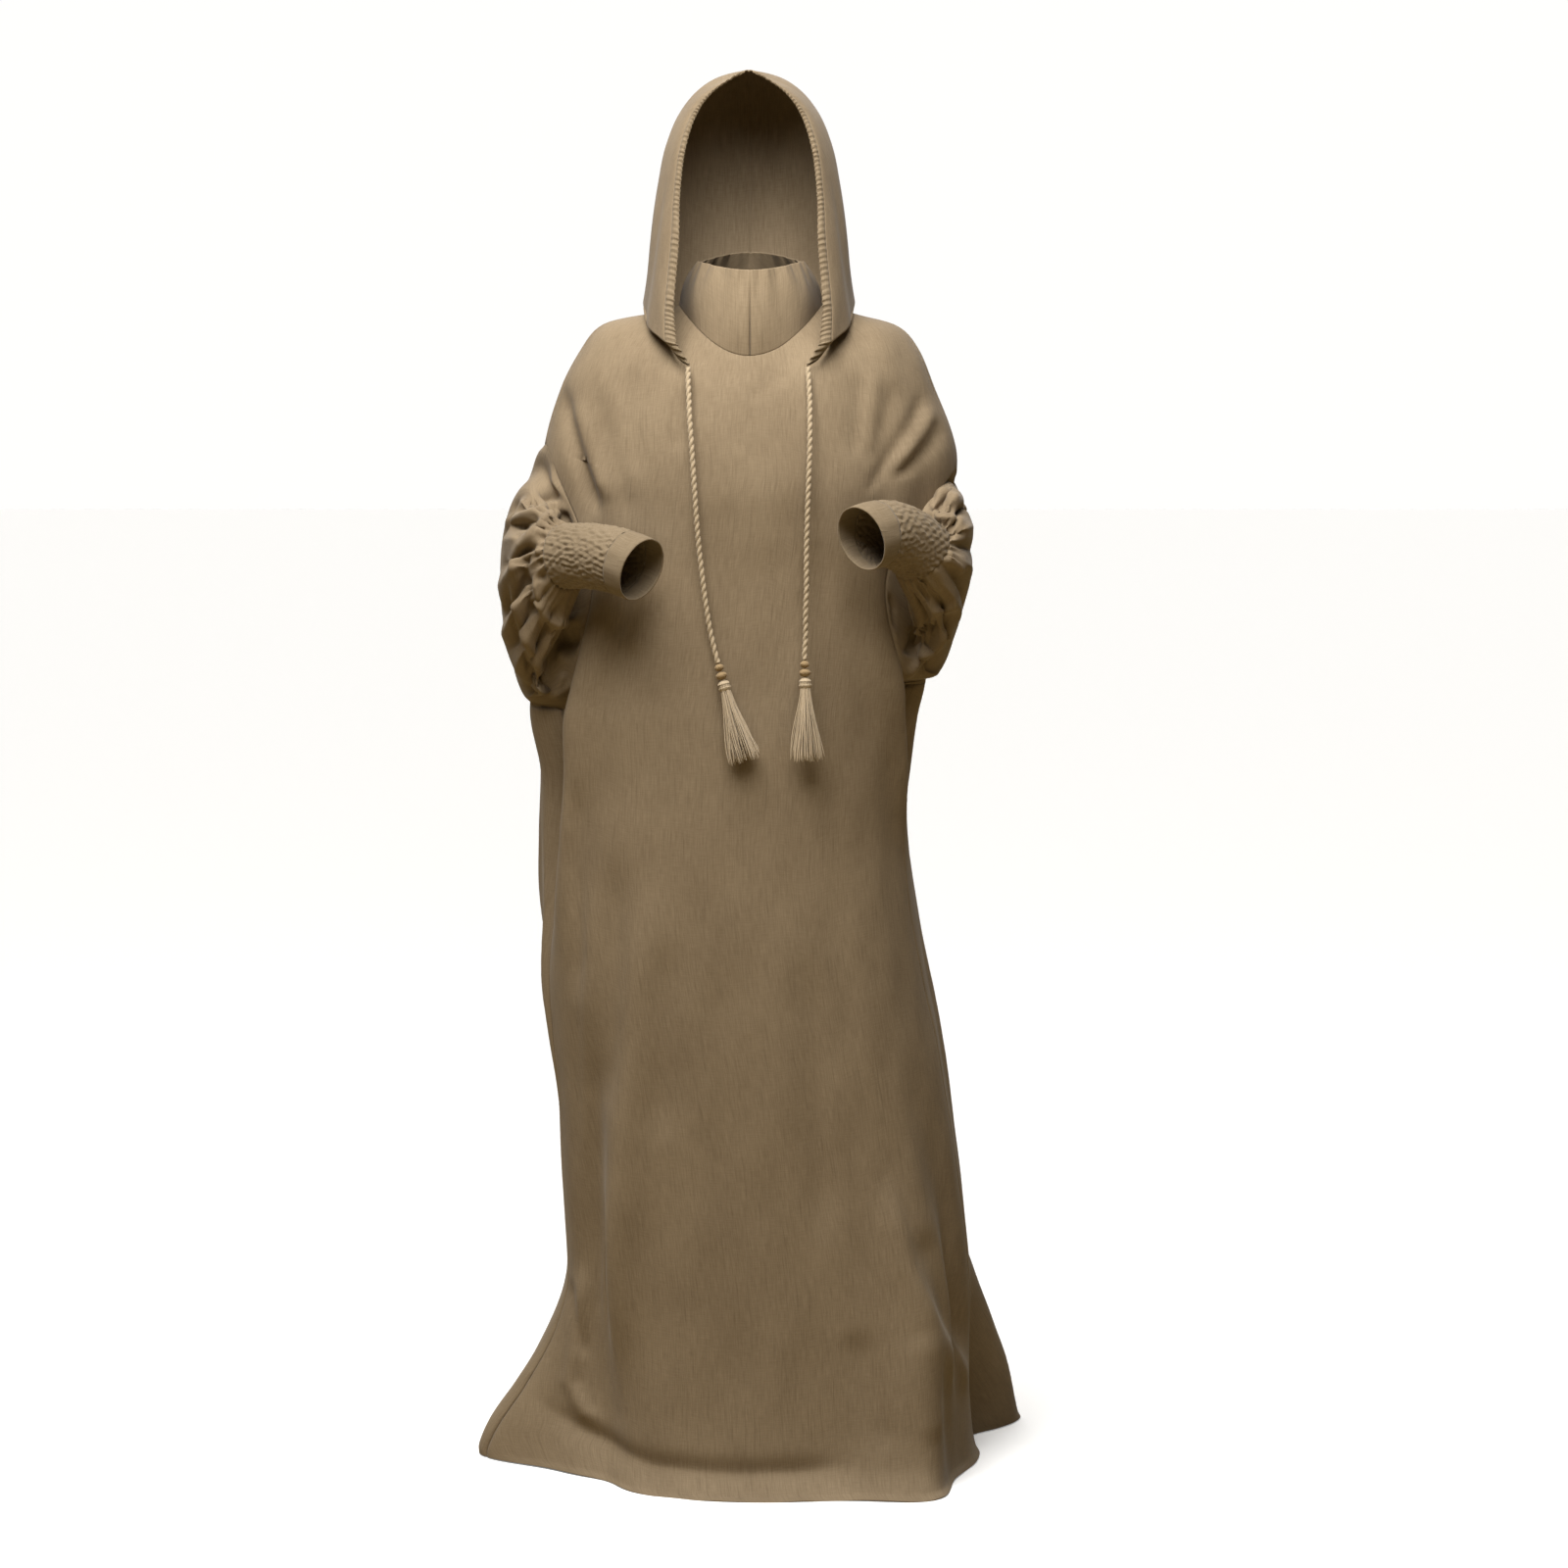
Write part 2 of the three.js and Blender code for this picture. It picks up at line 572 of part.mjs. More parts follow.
function makeHood(side) {
  const { sign } = sides[side];
  const neck = neckColumns(side === 'left', hoodRow).reverse();
  const leaves = neck.findIndex(({ point }) => point.y < 0
    && Math.atan2(Math.abs(point.x - centreX), -point.y) < radians(flapAngle));
  const foot = neck.slice(0, leaves);
  const raise = 2.5 * seam;
  const seated = foot.map(({ point, normal }) => mirrored(sign, shifted(point, normal, raise)));
  const leave = seated[seated.length - 1];
  const flapEdge = (t) => between(leave, flapTip, t).add(vector(flapBow * Math.sin(Math.PI * t), 0, 0));
  const lower = [...seated, flapEdge(0.35), flapEdge(0.7), flapTip];
  const columns = lower.length - 1;

  // Each upper row starts above the place where the lower edge runs.
  const lengths = lower.map((point, i) => (i === 0 ? 0 : point.distanceTo(lower[i - 1])));
  const total = lengths.reduce((sum, length) => sum + length, 0);
  const places = lengths.map((_, i) => (
    lengths.slice(0, i + 1).reduce((sum, length) => sum + length, 0) / total));
  const lowerAt = (t) => {
    const i = Math.min(Math.max(places.findIndex((place) => place >= t), 1), columns);
    return between(lower[i - 1], lower[i], (t - places[i - 1]) / (places[i] - places[i - 1]));
  };
  const surface = (t, up) => {
    const held = Math.min(Math.max(t, 0), 1);
    const blend = smooth(up / hoodRings[0].up);
    const upper = hoodRing(rowAt(hoodRings, 'up', Math.max(up, hoodRings[0].up)), held);
    return between(lowerAt(held), upper, blend);
  };
  const across = places.map((place) => place * casingPlace);
  const offSeam = (point, t) => (t < 1e-6 ? vector(seam / 2, point.y, point.z) : point);
  const hoodSample = (t, up) => {
    const inside = Math.min(Math.max(t, 0.004), 0.996);
    const { normal } = sample(surface, inside, Math.min(up, 0.985), 0.004, 0.01);
    const point = surface(t, up);
    const outward = normal.dot(towards(hoodMiddle, point)) > 0;
    return { point, normal: outward ? normal : normal.negate() };
  };
  const grid = hoodRows.map((up) => across.map((t) => {
    const entry = hoodSample(t, up);
    return { normal: entry.normal, point: offSeam(entry.point, t), inner: offSeam(under(entry), t) };
  }));
  // The foot stands on the shoulders, so its wall is laid along them towards the neck.
  grid[0].forEach((entry, i) => {
    const rest = foot[i] ? mirrored(sign, foot[i].normal) : vector(0, -0.7, 0.7);
    const inward = vector(-entry.point.x, -entry.point.y, 0).projectOnPlane(rest).normalize();
    entry.inner = offSeam(shifted(entry.point, inward, wall), across[i]);
  });
  const place = (point) => mirrored(sign, point);
  addPiece(`hood_${side}`, wallSolid(
    grid.map((row) => row.map(({ point }) => place(point))),
    grid.map((row) => row.map(({ inner }) => place(inner))),
    false,
  ), cloth);

  // The casing follows the panel's last column, then ruffles along its free edge.
  const edge = grid.map((row) => row[row.length - 1]);
  const casingRows = steps((hoodRows.length - 1) * casingWaves);
  const strip = casingRows.map((up, i) => {
    const whole = Math.min(Math.floor(i / casingWaves), edge.length - 2);
    const part = i / casingWaves - whole;
    const outer = between(edge[whole].point, edge[whole + 1].point, part);
    const inner = between(edge[whole].inner, edge[whole + 1].inner, part);
    const free = hoodSample(1, up);
    const ruffle = casingRuffle * Math.sin((2 * Math.PI * i) / casingWaves + 1);
    const freeOuter = shifted(free.point, free.normal, ruffle);
    const lead = towards(outer, freeOuter);
    const innerFree = shifted(freeOuter, edge[whole].normal, -wall);
    const gap = (point) => shifted(point, lead, seam);
    return { outer: [gap(outer), freeOuter], inner: [gap(inner), innerFree] };
  });
  addPiece(`hood_casing_${side}`, wallSolid(
    strip.map((row) => row.outer.map(place)),
    strip.map((row) => row.inner.map(place)),
    false,
  ), cuffCloth);
}

for (const side of ['left', 'right']) {
  makeCollar(side);
  makeHood(side);
}

// Drawcords: routes from the flap tips down over the chest, with two beads and a tassel each.
const cordDiameter = 6.6;
const cordSides = 8;
const cordRoutes = {
  left: [
    [-70.1, -131.6, 1322.1], [-70, -135, 1315.5], [-70, -140, 1306], [-69, -149, 1286],
    [-68, -158, 1262], [-66, -164, 1236], [-64, -168, 1205], [-62, -170, 1175], [-60, -170, 1145],
    [-57, -169, 1110], [-53, -169, 1075], [-49, -169, 1044], [-44, -169, 1014], [-39, -170, 992],
    [-35, -172, 977],
  ],
  right: [
    [70.1, -131.7, 1322.1], [70.4, -136, 1313.5], [71, -141, 1303], [72, -150, 1282],
    [72, -158, 1260], [72, -164, 1236], [71, -168, 1205], [70, -170, 1175], [69, -170, 1145],
    [68, -169, 1105], [68, -169, 1065], [67, -169, 1035], [67, -169, 1008], [66, -171, 990],
    [66, -172, 981],
  ],
};
const beads = [
  { name: 'upper', radius: 5.7, height: 9 },
  { name: 'lower', radius: 7, height: 10 },
];
const tasselLength = 100;
const tasselHead = { radius: 7.6, height: 15 };
const tasselLean = { left: vector(0.27, -0.09, -0.96), right: vector(0.03, -0.09, -1) };
const tasselDepth = 0.45; // the locks lie on the cloth, so they spread less front to back
const lockRings = table('count root spread', [
  [4, 1.8, 6],
  [9, 4.1, 13],
  [13, 6.4, 21],
]);
const lockRadius = 0.85;

const wasm = await Module();
wasm.setup();

function solidOf(geometry) {
  geometry.deleteAttribute('normal');
  geometry.deleteAttribute('uv');
  const merged = mergeVertices(geometry, 1e-4);
  return new wasm.Manifold(new wasm.Mesh({
    numProp: 3,
    vertProperties: new Float32Array(merged.attributes.position.array),
    triVerts: new Uint32Array(merged.index.array),
  }));
}

function geometryOf(solid) {
  const { vertProperties, triVerts } = solid.getMesh();
  const geometry = new THREE.BufferGeometry();
  geometry.setAttribute('position', new THREE.BufferAttribute(vertProperties, 3));
  geometry.setIndex(new THREE.BufferAttribute(triVerts, 1));
  return geometry;
}

function tube(path, radius, sidesRound, count) {
  const shape = new THREE.Shape(Array.from({ length: sidesRound }, (_, i) => {
    const turn = (2 * Math.PI * i) / sidesRound;
    return new THREE.Vector2(radius * Math.cos(turn), radius * Math.sin(turn));
  }));
  return new THREE.ExtrudeGeometry(shape, { steps: count, bevelEnabled: false, extrudePath: path });
}

// A round piece about the Y axis, from its top down to its bottom.
function turned(radius, height, sharpness, segments) {
  const profile = steps(4).map((t) => (
    new THREE.Vector2(radius * Math.sin(Math.PI * t) ** sharpness, (t - 0.5) * height)));
  profile[0].x = 0;
  profile[profile.length - 1].x = 0;
  return new THREE.LatheGeometry(profile, segments);
}

function makeCord(side) {
  const route = cordRoutes[side].map((corner) => vector(...corner));
  const curve = new THREE.CatmullRomCurve3(route, false, 'centripetal');
  addPiece(`drawcord_${side}`, tube(curve, cordDiameter / 2, cordSides, 26), cordYarn);

  const end = route[route.length - 1];
  const lean = tasselLean[side].clone().normalize();
  const upright = new THREE.Quaternion().setFromUnitVectors(vector(0, -1, 0), lean);
  let reach = seam;
  for (const { name, radius, height } of beads) {
    const mesh = addPiece(`bead_${side}_${name}`, turned(radius, height, 0.7, 10), beadYarn);
    mesh.position.copy(shifted(end, lean, reach + height / 2));
    mesh.quaternion.copy(upright);
    reach += height + seam;
  }

  const headTop = reach;
  let tassel = solidOf(turned(tasselHead.radius, tasselHead.height, 0.6, 12)
    .translate(0, -tasselHead.height / 2, 0));
  for (const ring of lockRings) {
    for (let i = 0; i < ring.count; i += 1) {
      const turn = (2 * Math.PI * (i + 0.37 * ring.root)) / ring.count;
      const uneven = 1 + 0.05 * Math.sin(7.3 * i + 2.1 * ring.root);
      const spread = ring.spread * uneven;
      const at = (out, down) => {
        const radius = mix(ring.root, spread, out);
        return vector(radius * Math.cos(turn), -down, radius * mix(1, tasselDepth, out) * Math.sin(turn));
      };
      const lock = new THREE.CatmullRomCurve3([
        at(0, tasselHead.height * 0.55),
        at(0.42, tasselLength * 0.5),
        at(1, tasselLength * uneven * 0.97),
      ]);
      tassel = tassel.add(solidOf(tube(lock, lockRadius, 3, 2)));
    }
  }
  const mesh = addPiece(`tassel_${side}`, geometryOf(tassel), cordYarn);
  mesh.position.copy(shifted(end, lean, headTop));
  mesh.quaternion.copy(upright);
}

for (const side of ['left', 'right']) makeCord(side);

export default garment;
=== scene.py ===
import math
import bpy
import numpy as np
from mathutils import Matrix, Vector


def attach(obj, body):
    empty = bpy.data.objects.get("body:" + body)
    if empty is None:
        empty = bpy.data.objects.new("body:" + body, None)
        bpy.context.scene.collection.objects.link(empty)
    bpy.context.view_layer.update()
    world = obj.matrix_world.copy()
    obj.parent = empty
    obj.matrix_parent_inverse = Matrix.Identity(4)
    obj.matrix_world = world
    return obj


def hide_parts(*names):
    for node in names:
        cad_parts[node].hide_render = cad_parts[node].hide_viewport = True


# A long hooded dress of slubbed linen-like cloth, as it hangs on a standing figure.
# Shapes are worked out in millimetres with heights above the floor, then put in the frame.

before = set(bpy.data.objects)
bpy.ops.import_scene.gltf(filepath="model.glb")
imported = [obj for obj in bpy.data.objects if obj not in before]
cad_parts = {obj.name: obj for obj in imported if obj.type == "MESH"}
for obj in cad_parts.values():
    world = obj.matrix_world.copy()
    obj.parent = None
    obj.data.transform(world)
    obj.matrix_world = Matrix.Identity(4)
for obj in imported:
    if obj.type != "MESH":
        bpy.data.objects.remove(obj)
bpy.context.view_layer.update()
shoulderHeight = 1370


def toFrame(points):  # millimetres above the floor to metres in the frame
    return (np.asarray(points, float) - [0, 0, shoulderHeight]) / 1000


print("camera")
cameraView = {"right": 42, "back": 5000, "height": 1250, "downDegrees": 4.9, "lens": 95.06}
camera = bpy.data.objects.new("camera", bpy.data.cameras.new("camera"))
bpy.context.scene.collection.objects.link(camera)
camera.location = toFrame([cameraView["right"], -cameraView["back"], cameraView["height"]])
camera.rotation_euler = (math.radians(90 - cameraView["downDegrees"]), 0, 0)
camera.data.lens = cameraView["lens"]
camera.data.sensor_width = 36
bpy.context.scene.camera = camera


# Cubic ease from 0 to 1, flat at both ends: 3t² - 2t³.
def smooth(t):
    t = np.clip(t, 0, 1)
    return t * t * (3 - 2 * t)


def mix(a, b, t):
    return a + (b - a) * t


def normalised(vectors):
    return vectors / (np.linalg.norm(vectors, axis=-1, keepdims=True) + 1e-12)


def distanceAlong(line):
    return np.append(0, np.linalg.norm(np.diff(line, axis=0), axis=1).cumsum())


# Smooth curve through rows of values at uneven keys: a cubic between two rows, whose slope at a
# row is that of the chord between its two neighbours.
def curveThrough(keys, values, at):
    keys, values, at = np.asarray(keys, float), np.asarray(values, float), np.asarray(at, float)
    last = len(keys) - 1
    b = np.clip(np.searchsorted(keys, at) - 1, 0, last - 1)
    a, c, d = np.maximum(b - 1, 0), b + 1, np.minimum(b + 2, last)
    wide = at.shape + (1,) * (values.ndim - 1)
    span = (keys[c] - keys[b]).reshape(wide)
    t = np.clip((at - keys[b]) / (keys[c] - keys[b]), 0, 1).reshape(wide)
    slopeB = (values[c] - values[a]) / (keys[c] - keys[a]).reshape(wide) * span
    slopeC = (values[d] - values[b]) / (keys[d] - keys[b]).reshape(wide) * span
    rise = values[c] - values[b]
    return values[b] + t * (slopeB + t * (3 * rise - 2 * slopeB - slopeC
                                          + t * (slopeB + slopeC - 2 * rise)))


# Normals of a grid: the cross product of its two neighbouring differences.
def gridNormals(points, inside, wrapped=False):
    if wrapped:
        across = np.roll(points, -1, axis=1) - np.roll(points, 1, axis=1)
    else:
        across = np.gradient(points, axis=1)
    normals = normalised(np.cross(across, np.gradient(points, axis=0)))
    if (normals * (points - inside)).sum() < 0:
        normals = -normals
    return normals


# Distances along a grid in metres, across from a middle column and up from the first row.
def clothPlaces(points, middle=0, wrapped=False):
    if wrapped:
        points = np.concatenate([points, points[:, :1]], axis=1)
    across = np.linalg.norm(np.diff(points, axis=1), axis=2).cumsum(axis=1)
    across = np.pad(across, ((0, 0), (1, 0)))
    up = np.linalg.norm(np.diff(points, axis=0), axis=2).cumsum(axis=0)
    up = np.pad(up, ((1, 0), (0, 0)))
    return np.stack([across - across[:, middle:middle + 1], up], axis=2) / 1000


# The four corners of each face of a grid, as rows and columns, across the join where wrapped.
def gridCorners(rows, columns, wrapped=False):
    i, j = np.meshgrid(np.arange(rows - 1), np.arange(columns if wrapped else columns - 1),
                       indexing="ij")
    i, j = i.ravel(), j.ravel()
    return [(i, j), (i, j + 1), (i + 1, j + 1), (i + 1, j)]


def gridFaces(corners, columns):
    return np.stack([row * columns + column % columns for row, column in corners], axis=1)


# A grid of points as a mesh object with faces outward, its cloth places as the UV map.
def gridPiece(name, points, inside, material, thickness=0, wrapped=False, middle=0):
    rows, columns = points.shape[:2]
    places = clothPlaces(points, middle, wrapped)
    corners = gridCorners(rows, columns, wrapped)
    faces = gridFaces(corners, columns)
    uvs = np.stack([places[row, column] for row, column in corners], axis=1)
    flat = points.reshape(-1, 3)
    middles = np.broadcast_to(inside, points.shape).reshape(-1, 3)
    a, b, c = flat[faces[:, 0]], flat[faces[:, 1]], flat[faces[:, 2]]
    if (np.cross(b - a, c - a) * (a - middles[faces[:, 0]])).sum() < 0:
        faces, uvs = faces[:, ::-1], uvs[:, ::-1]
    mesh = bpy.data.meshes.new(name)
    mesh.from_pydata(toFrame(flat), [], faces)
    mesh.uv_layers.new(name="cloth").data.foreach_set("uv", uvs.ravel())
    return finishPiece(name, mesh, material, thickness)


def finishPiece(name, mesh, material, thickness=0):
    mesh.polygons.foreach_set("use_smooth", [True] * len(mesh.polygons))
    mesh.materials.append(material)
    mesh.update()
    piece = bpy.data.objects.new(name, mesh)
    bpy.context.scene.collection.objects.link(piece)
    if thickness:
        wall = piece.modifiers.new("wall", "SOLIDIFY")
        wall.thickness = thickness / 1000
        wall.offset = -1
    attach(piece, "root")
    return piece


print("materials")


# sRGB hex colour to linear: below 0.04045 divided by 12.92, above it the 2.4 power curve.
def hexColour(code):
    part = np.array([int(code[i:i + 2], 16) for i in (1, 3, 5)]) / 255
    linear = np.where(part <= 0.04045, part / 12.92, ((part + 0.055) / 1.055) ** 2.4)
    return (*linear, 1)


def addNode(tree, kind, values=None, links=None, **settings):
    node = tree.nodes.new("ShaderNode" + kind)
    for name, value in settings.items():
        setattr(node, name, value)
    for name, value in (values or {}).items():
        node.inputs[name].default_value = value
    for name, source in (links or {}).items():
        tree.links.new(source, node.inputs[name])
    return node


# Slubbed plain weave: yarn of uneven thickness, so the eye sees fine upright streaks, fainter
# level ones and a soft matt face. Threads are 0.5 mm apart and are drawn 1.2 mm apart, as finer
# ones would not show. Each row is a noise: its size across and along the cloth in metres.
linenNoise = {"upright": (0.0012, 0.022), "level": (0.016, 0.0012), "slub": (0.0028, 0.075),
              "cloud": (0.09, 0.16)}


def wovenLinen(name, look):
    material = bpy.data.materials.new(name)
    material.use_nodes = True
    tree = material.node_tree
    shader = tree.nodes["Principled BSDF"]
    place = addNode(tree, "UVMap", uv_map="cloth").outputs["UV"]

    def streaks(noise, shift):
        across, along = linenNoise[noise]
        scaled = addNode(tree, "Mapping", {"Scale": (1 / across, 1 / along, 1),
                                           "Location": (shift, shift, 0)}, {"Vector": place})
        return addNode(tree, "TexNoise", {"Scale": 1, "Detail": 2, "Roughness": 0.55},
                       {"Vector": scaled.outputs["Vector"]}).outputs["Fac"]

    upright, level = streaks("upright", 0), streaks("level", 7)
    slub, cloud = streaks("slub", 3), streaks("cloud", 5)
    weave = addNode(tree, "Math", {1: 0.55}, {0: level}, operation="MULTIPLY")
    weave = addNode(tree, "Math", {}, {0: upright, 1: weave.outputs[0]}, operation="ADD")
    slubShown = addNode(tree, "MapRange", {"From Min": 0.56, "From Max": 0.74}, {"Value": slub})
    height = addNode(tree, "Math", {2: 0.5}, {0: slubShown.outputs[0], 1: weave.outputs[0]},
                     operation="ADD")
    tone = addNode(tree, "Math", {1: 0.8}, {0: cloud}, operation="MULTIPLY")
    tone = addNode(tree, "Math", {}, {0: weave.outputs[0], 1: tone.outputs[0]}, operation="ADD")
    shade = addNode(tree, "MapRange", {"From Min": 0.7, "From Max": 1.65}, {"Value": tone.outputs[0]})
    colour = addNode(tree, "Mix", {"A": hexColour(look["dark"]), "B": hexColour(look["light"])},
                     {"Factor": shade.outputs[0]}, data_type="RGBA")
    slubPart = addNode(tree, "Math", {1: look["slub"]}, {0: slubShown.outputs[0]},
                       operation="MULTIPLY")
    final = addNode(tree, "Mix", {"B": hexColour(look["slubColour"])},
                    {"Factor": slubPart.outputs[0], "A": colour.outputs["Result"]},
                    data_type="RGBA")
    bump = addNode(tree, "Bump", {"Strength": look["bump"], "Distance": 0.0005},
                   {"Height": height.outputs[0]})
    tree.links.new(final.outputs["Result"], shader.inputs["Base Color"])
    tree.links.new(bump.outputs["Normal"], shader.inputs["Normal"])
    shader.inputs["Roughness"].default_value = 0.86
    shader.inputs["Specular IOR Level"].default_value = 0.3
    shader.inputs["Sheen Weight"].default_value = look["sheen"]
    shader.inputs["Sheen Roughness"].default_value = 0.45
    return material


# Twisted or wound yarn: soft matt fibres, mottled lighter and darker by a fine noise.
def twistedYarn(name, look):
    material = bpy.data.materials.new(name)
    material.use_nodes = True
    tree = material.node_tree
    shader = tree.nodes["Principled BSDF"]
    place = addNode(tree, "TexCoord").outputs["Object"]
    scaled = addNode(tree, "Mapping", {"Scale": (1 / 0.0009, 1 / 0.0009, 1 / 0.006)},
                     {"Vector": place})
    fibre = addNode(tree, "TexNoise", {"Scale": 1, "Detail": 3}, {"Vector": scaled.outputs["Vector"]})
    colour = addNode(tree, "Mix", {"A": hexColour(look["dark"]), "B": hexColour(look["light"])},
                     {"Factor": fibre.outputs["Fac"]}, data_type="RGBA")
    bump = addNode(tree, "Bump", {"Strength": 0.5, "Distance": 0.0004},
                   {"Height": fibre.outputs["Fac"]})
    tree.links.new(colour.outputs["Result"], shader.inputs["Base Color"])
    tree.links.new(bump.outputs["Normal"], shader.inputs["Normal"])
    shader.inputs["Roughness"].default_value = 0.8
    shader.inputs["Specular IOR Level"].default_value = 0.3
    shader.inputs["Sheen Weight"].default_value = look["sheen"]
    return material


dressLinen = wovenLinen("dress_woven_linen", {
    "dark": "#6c5b44", "light": "#8d7b61", "slubColour": "#62523c", "slub": 0.35,
    "bump": 0.35, "sheen": 0.08})
cuffLinen = wovenLinen("cuff_woven_linen", {
    "dark": "#685840", "light": "#897860", "slubColour": "#62523c", "slub": 0.25,
    "bump": 0.5, "sheen": 0.1})
cordYarn = twistedYarn("cord_twisted_cotton", {"dark": "#8f7c60", "light": "#b5a285", "sheen": 0.2})
tasselYarn = twistedYarn("tassel_cotton_yarn", {"dark": "#9a8669", "light": "#c3b093", "sheen": 0.2})
beadYarn = twistedYarn("bead_wound_yarn", {"dark": "#7d6643", "light": "#a08763", "sheen": 0.15})

print("cords")
cord = {"diameter": 6.6, "pitch": 18, "sides": 22, "sections": 420, "tip": 0.05}
cordRoutes = {
    "left": [
        [-70.1, -131.6, 1322.1], [-70, -135, 1315.5], [-70, -140, 1306], [-69, -149, 1286],
        [-68, -158, 1262], [-66, -164, 1236], [-64, -168, 1205], [-62, -170, 1175],
        [-60, -170, 1145], [-57, -169, 1110], [-53, -169, 1075], [-49, -169, 1044],
        [-44, -169, 1014], [-39, -170, 992], [-35, -172, 977]],
    "right": [
        [70.1, -131.7, 1322.1], [70.4, -136, 1313.5], [71, -141, 1303], [72, -150, 1282],
        [72, -158, 1260], [72, -164, 1236], [71, -168, 1205], [70, -170, 1175],
        [69, -170, 1145], [68, -169, 1105], [68, -169, 1065], [67, -169, 1035],
        [67, -169, 1008], [66, -171, 990], [66, -172, 981]],
}
tasselLean = {"left": (0.27, -0.09, -0.96), "right": (0.03, -0.09, -1)}
tasselSeed = {"left": 5, "right": 8}


# A path's frames: its direction, and two directions square to it that keep to the X axis.
def pathFrames(centres):
    ahead = normalised(np.gradient(centres, axis=0))
    side = normalised(np.cross(ahead, np.cross([1, 0, 0], ahead)))
    return ahead, side, np.cross(ahead, side)


# A tube along a path: radius is a grid of distances, one row a section, small at both ends.
def tubePoints(centres, radius):
    count = radius.shape[1]
    turn = np.arange(count) * 2 * math.pi / count
    ahead, side, other = pathFrames(centres)
    ring = (side[:, None] * np.cos(turn)[None, :, None] + other[:, None] * np.sin(turn)[None, :, None])
    return centres[:, None] + ring * radius[:, :, None]


def denser(route, count):
    route = np.array(route, float)
    keys = distanceAlong(route)
    return curveThrough(keys, route, np.linspace(0, keys[-1], count))


# A cord of two plies: its outline is that of two touching circles, turned along its length.
def makeCord(side):
    centres = denser(cordRoutes[side], cord["sections"])
    gone = distanceAlong(centres)
    turn = np.arange(cord["sides"]) * 2 * math.pi / cord["sides"]
    lobe = np.abs(np.cos(turn[None] - 2 * math.pi * gone[:, None] / cord["pitch"]))
    radius = cord["diameter"] / 2 * (0.5 + 0.5 * lobe ** 0.8)
    radius[[0, -1]] = cord["tip"]
    piece = gridPiece(f"cord_{side}", tubePoints(centres, radius), centres[:, None], cordYarn,
                      wrapped=True)
    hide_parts(f"drawcord_{side}")
    return piece, gone[-1] / 1000, centres


cordPieces = {side: makeCord(side) for side in cordRoutes}

print("beads and tassels")
beads = [("upper", 5.7, 9), ("lower", 7, 10)]  # name, radius, height
bead = {"rows": 40, "sides": 40, "turns": 7, "starts": 2, "relief": 0.22}
tassel = {"head": 7.6, "headHeight": 15, "headRows": 44, "headSides": 56, "flutes": 14,
          "binding": (0.34, 0.6), "bindingTurns": 24, "length": 100, "strands": 110, "root": 5.6,
          "spread": 21, "depth": 0.5, "strandRadius": 0.62, "tip": 0.3, "sides": 5,
          "sections": 16, "goldenAngle": 2.39996}


# A turned piece about the Z axis, down from the origin: profile rows of distance and radius.
def turnedPoints(down, radius, sides):
    turn = np.arange(sides) * 2 * math.pi / sides
    x, y = radius * np.cos(turn), radius * np.sin(turn)
    return np.stack([x, y, np.broadcast_to(-down[:, None], x.shape)], axis=2)


def leaned(points, lean, top):  # turns straight down to the lean, and moves the origin to the top
    turn = Vector((0, 0, -1)).rotation_difference(Vector(lean)).to_matrix()
    return points @ np.array(turn).T + top


# A wound bead: a rounded profile with fine raised turns of yarn that slant round it.
def makeBead(side, name, radius, height, top, lean):
    t = np.linspace(0, 1, bead["rows"])[:, None]
    turn = np.arange(bead["sides"]) * 2 * math.pi / bead["sides"]
    core = radius * np.sin(math.pi * t) ** 0.6
    wound = bead["relief"] * np.cos(bead["turns"] * 2 * math.pi * t + bead["starts"] * turn)
    surface = np.maximum(core + wound * np.sin(math.pi * t), 0.02)
    points = leaned(turnedPoints(t[:, 0] * height, surface, bead["sides"]), lean, top)
    piece = gridPiece(f"bead_wound_{side}_{name}", points, points.mean(axis=(0, 1)), beadYarn,
                      wrapped=True)
    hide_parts(f"bead_{side}_{name}")
    return piece


# Strands: each leaves the head, bows outward and ends uneven; all are thin tubes.
def tasselStrands(seed):
    chance = np.random.default_rng(seed)
    t = np.linspace(0, 1, tassel["sections"])
    number = np.arange(tassel["strands"])
    around = number * tassel["goldenAngle"] + chance.normal(0, 0.12, len(number))
    ring = np.sqrt((number + 0.5) / len(number))
    root = tassel["root"] * ring
    spread = tassel["spread"] * ring * chance.uniform(0.8, 1.08, len(number))
    length = tassel["length"] * chance.uniform(0.9, 1.0, len(number))
    sway = chance.normal(0, 2.0, (len(number), 2))
    out = mix(root[:, None], spread[:, None], smooth(t)[None] * 0.55 + 0.45 * t[None] ** 1.3)
    x = out * np.cos(around)[:, None] + sway[:, :1] * np.sin(3.1 * t + around[:, None]) * t
    y = out * np.sin(around)[:, None] * mix(1, tassel["depth"], t)[None] + 0.4 * sway[:, 1:] * t
    z = -mix(tassel["headHeight"] * 0.6, length[:, None], t[None])
    radius = np.full((len(t), tassel["sides"]), tassel["strandRadius"])
    radius[[0, -1]] *= tassel["tip"]
    return [tubePoints(np.stack([x[n], y[n], z[n]], axis=1), radius) for n in number]


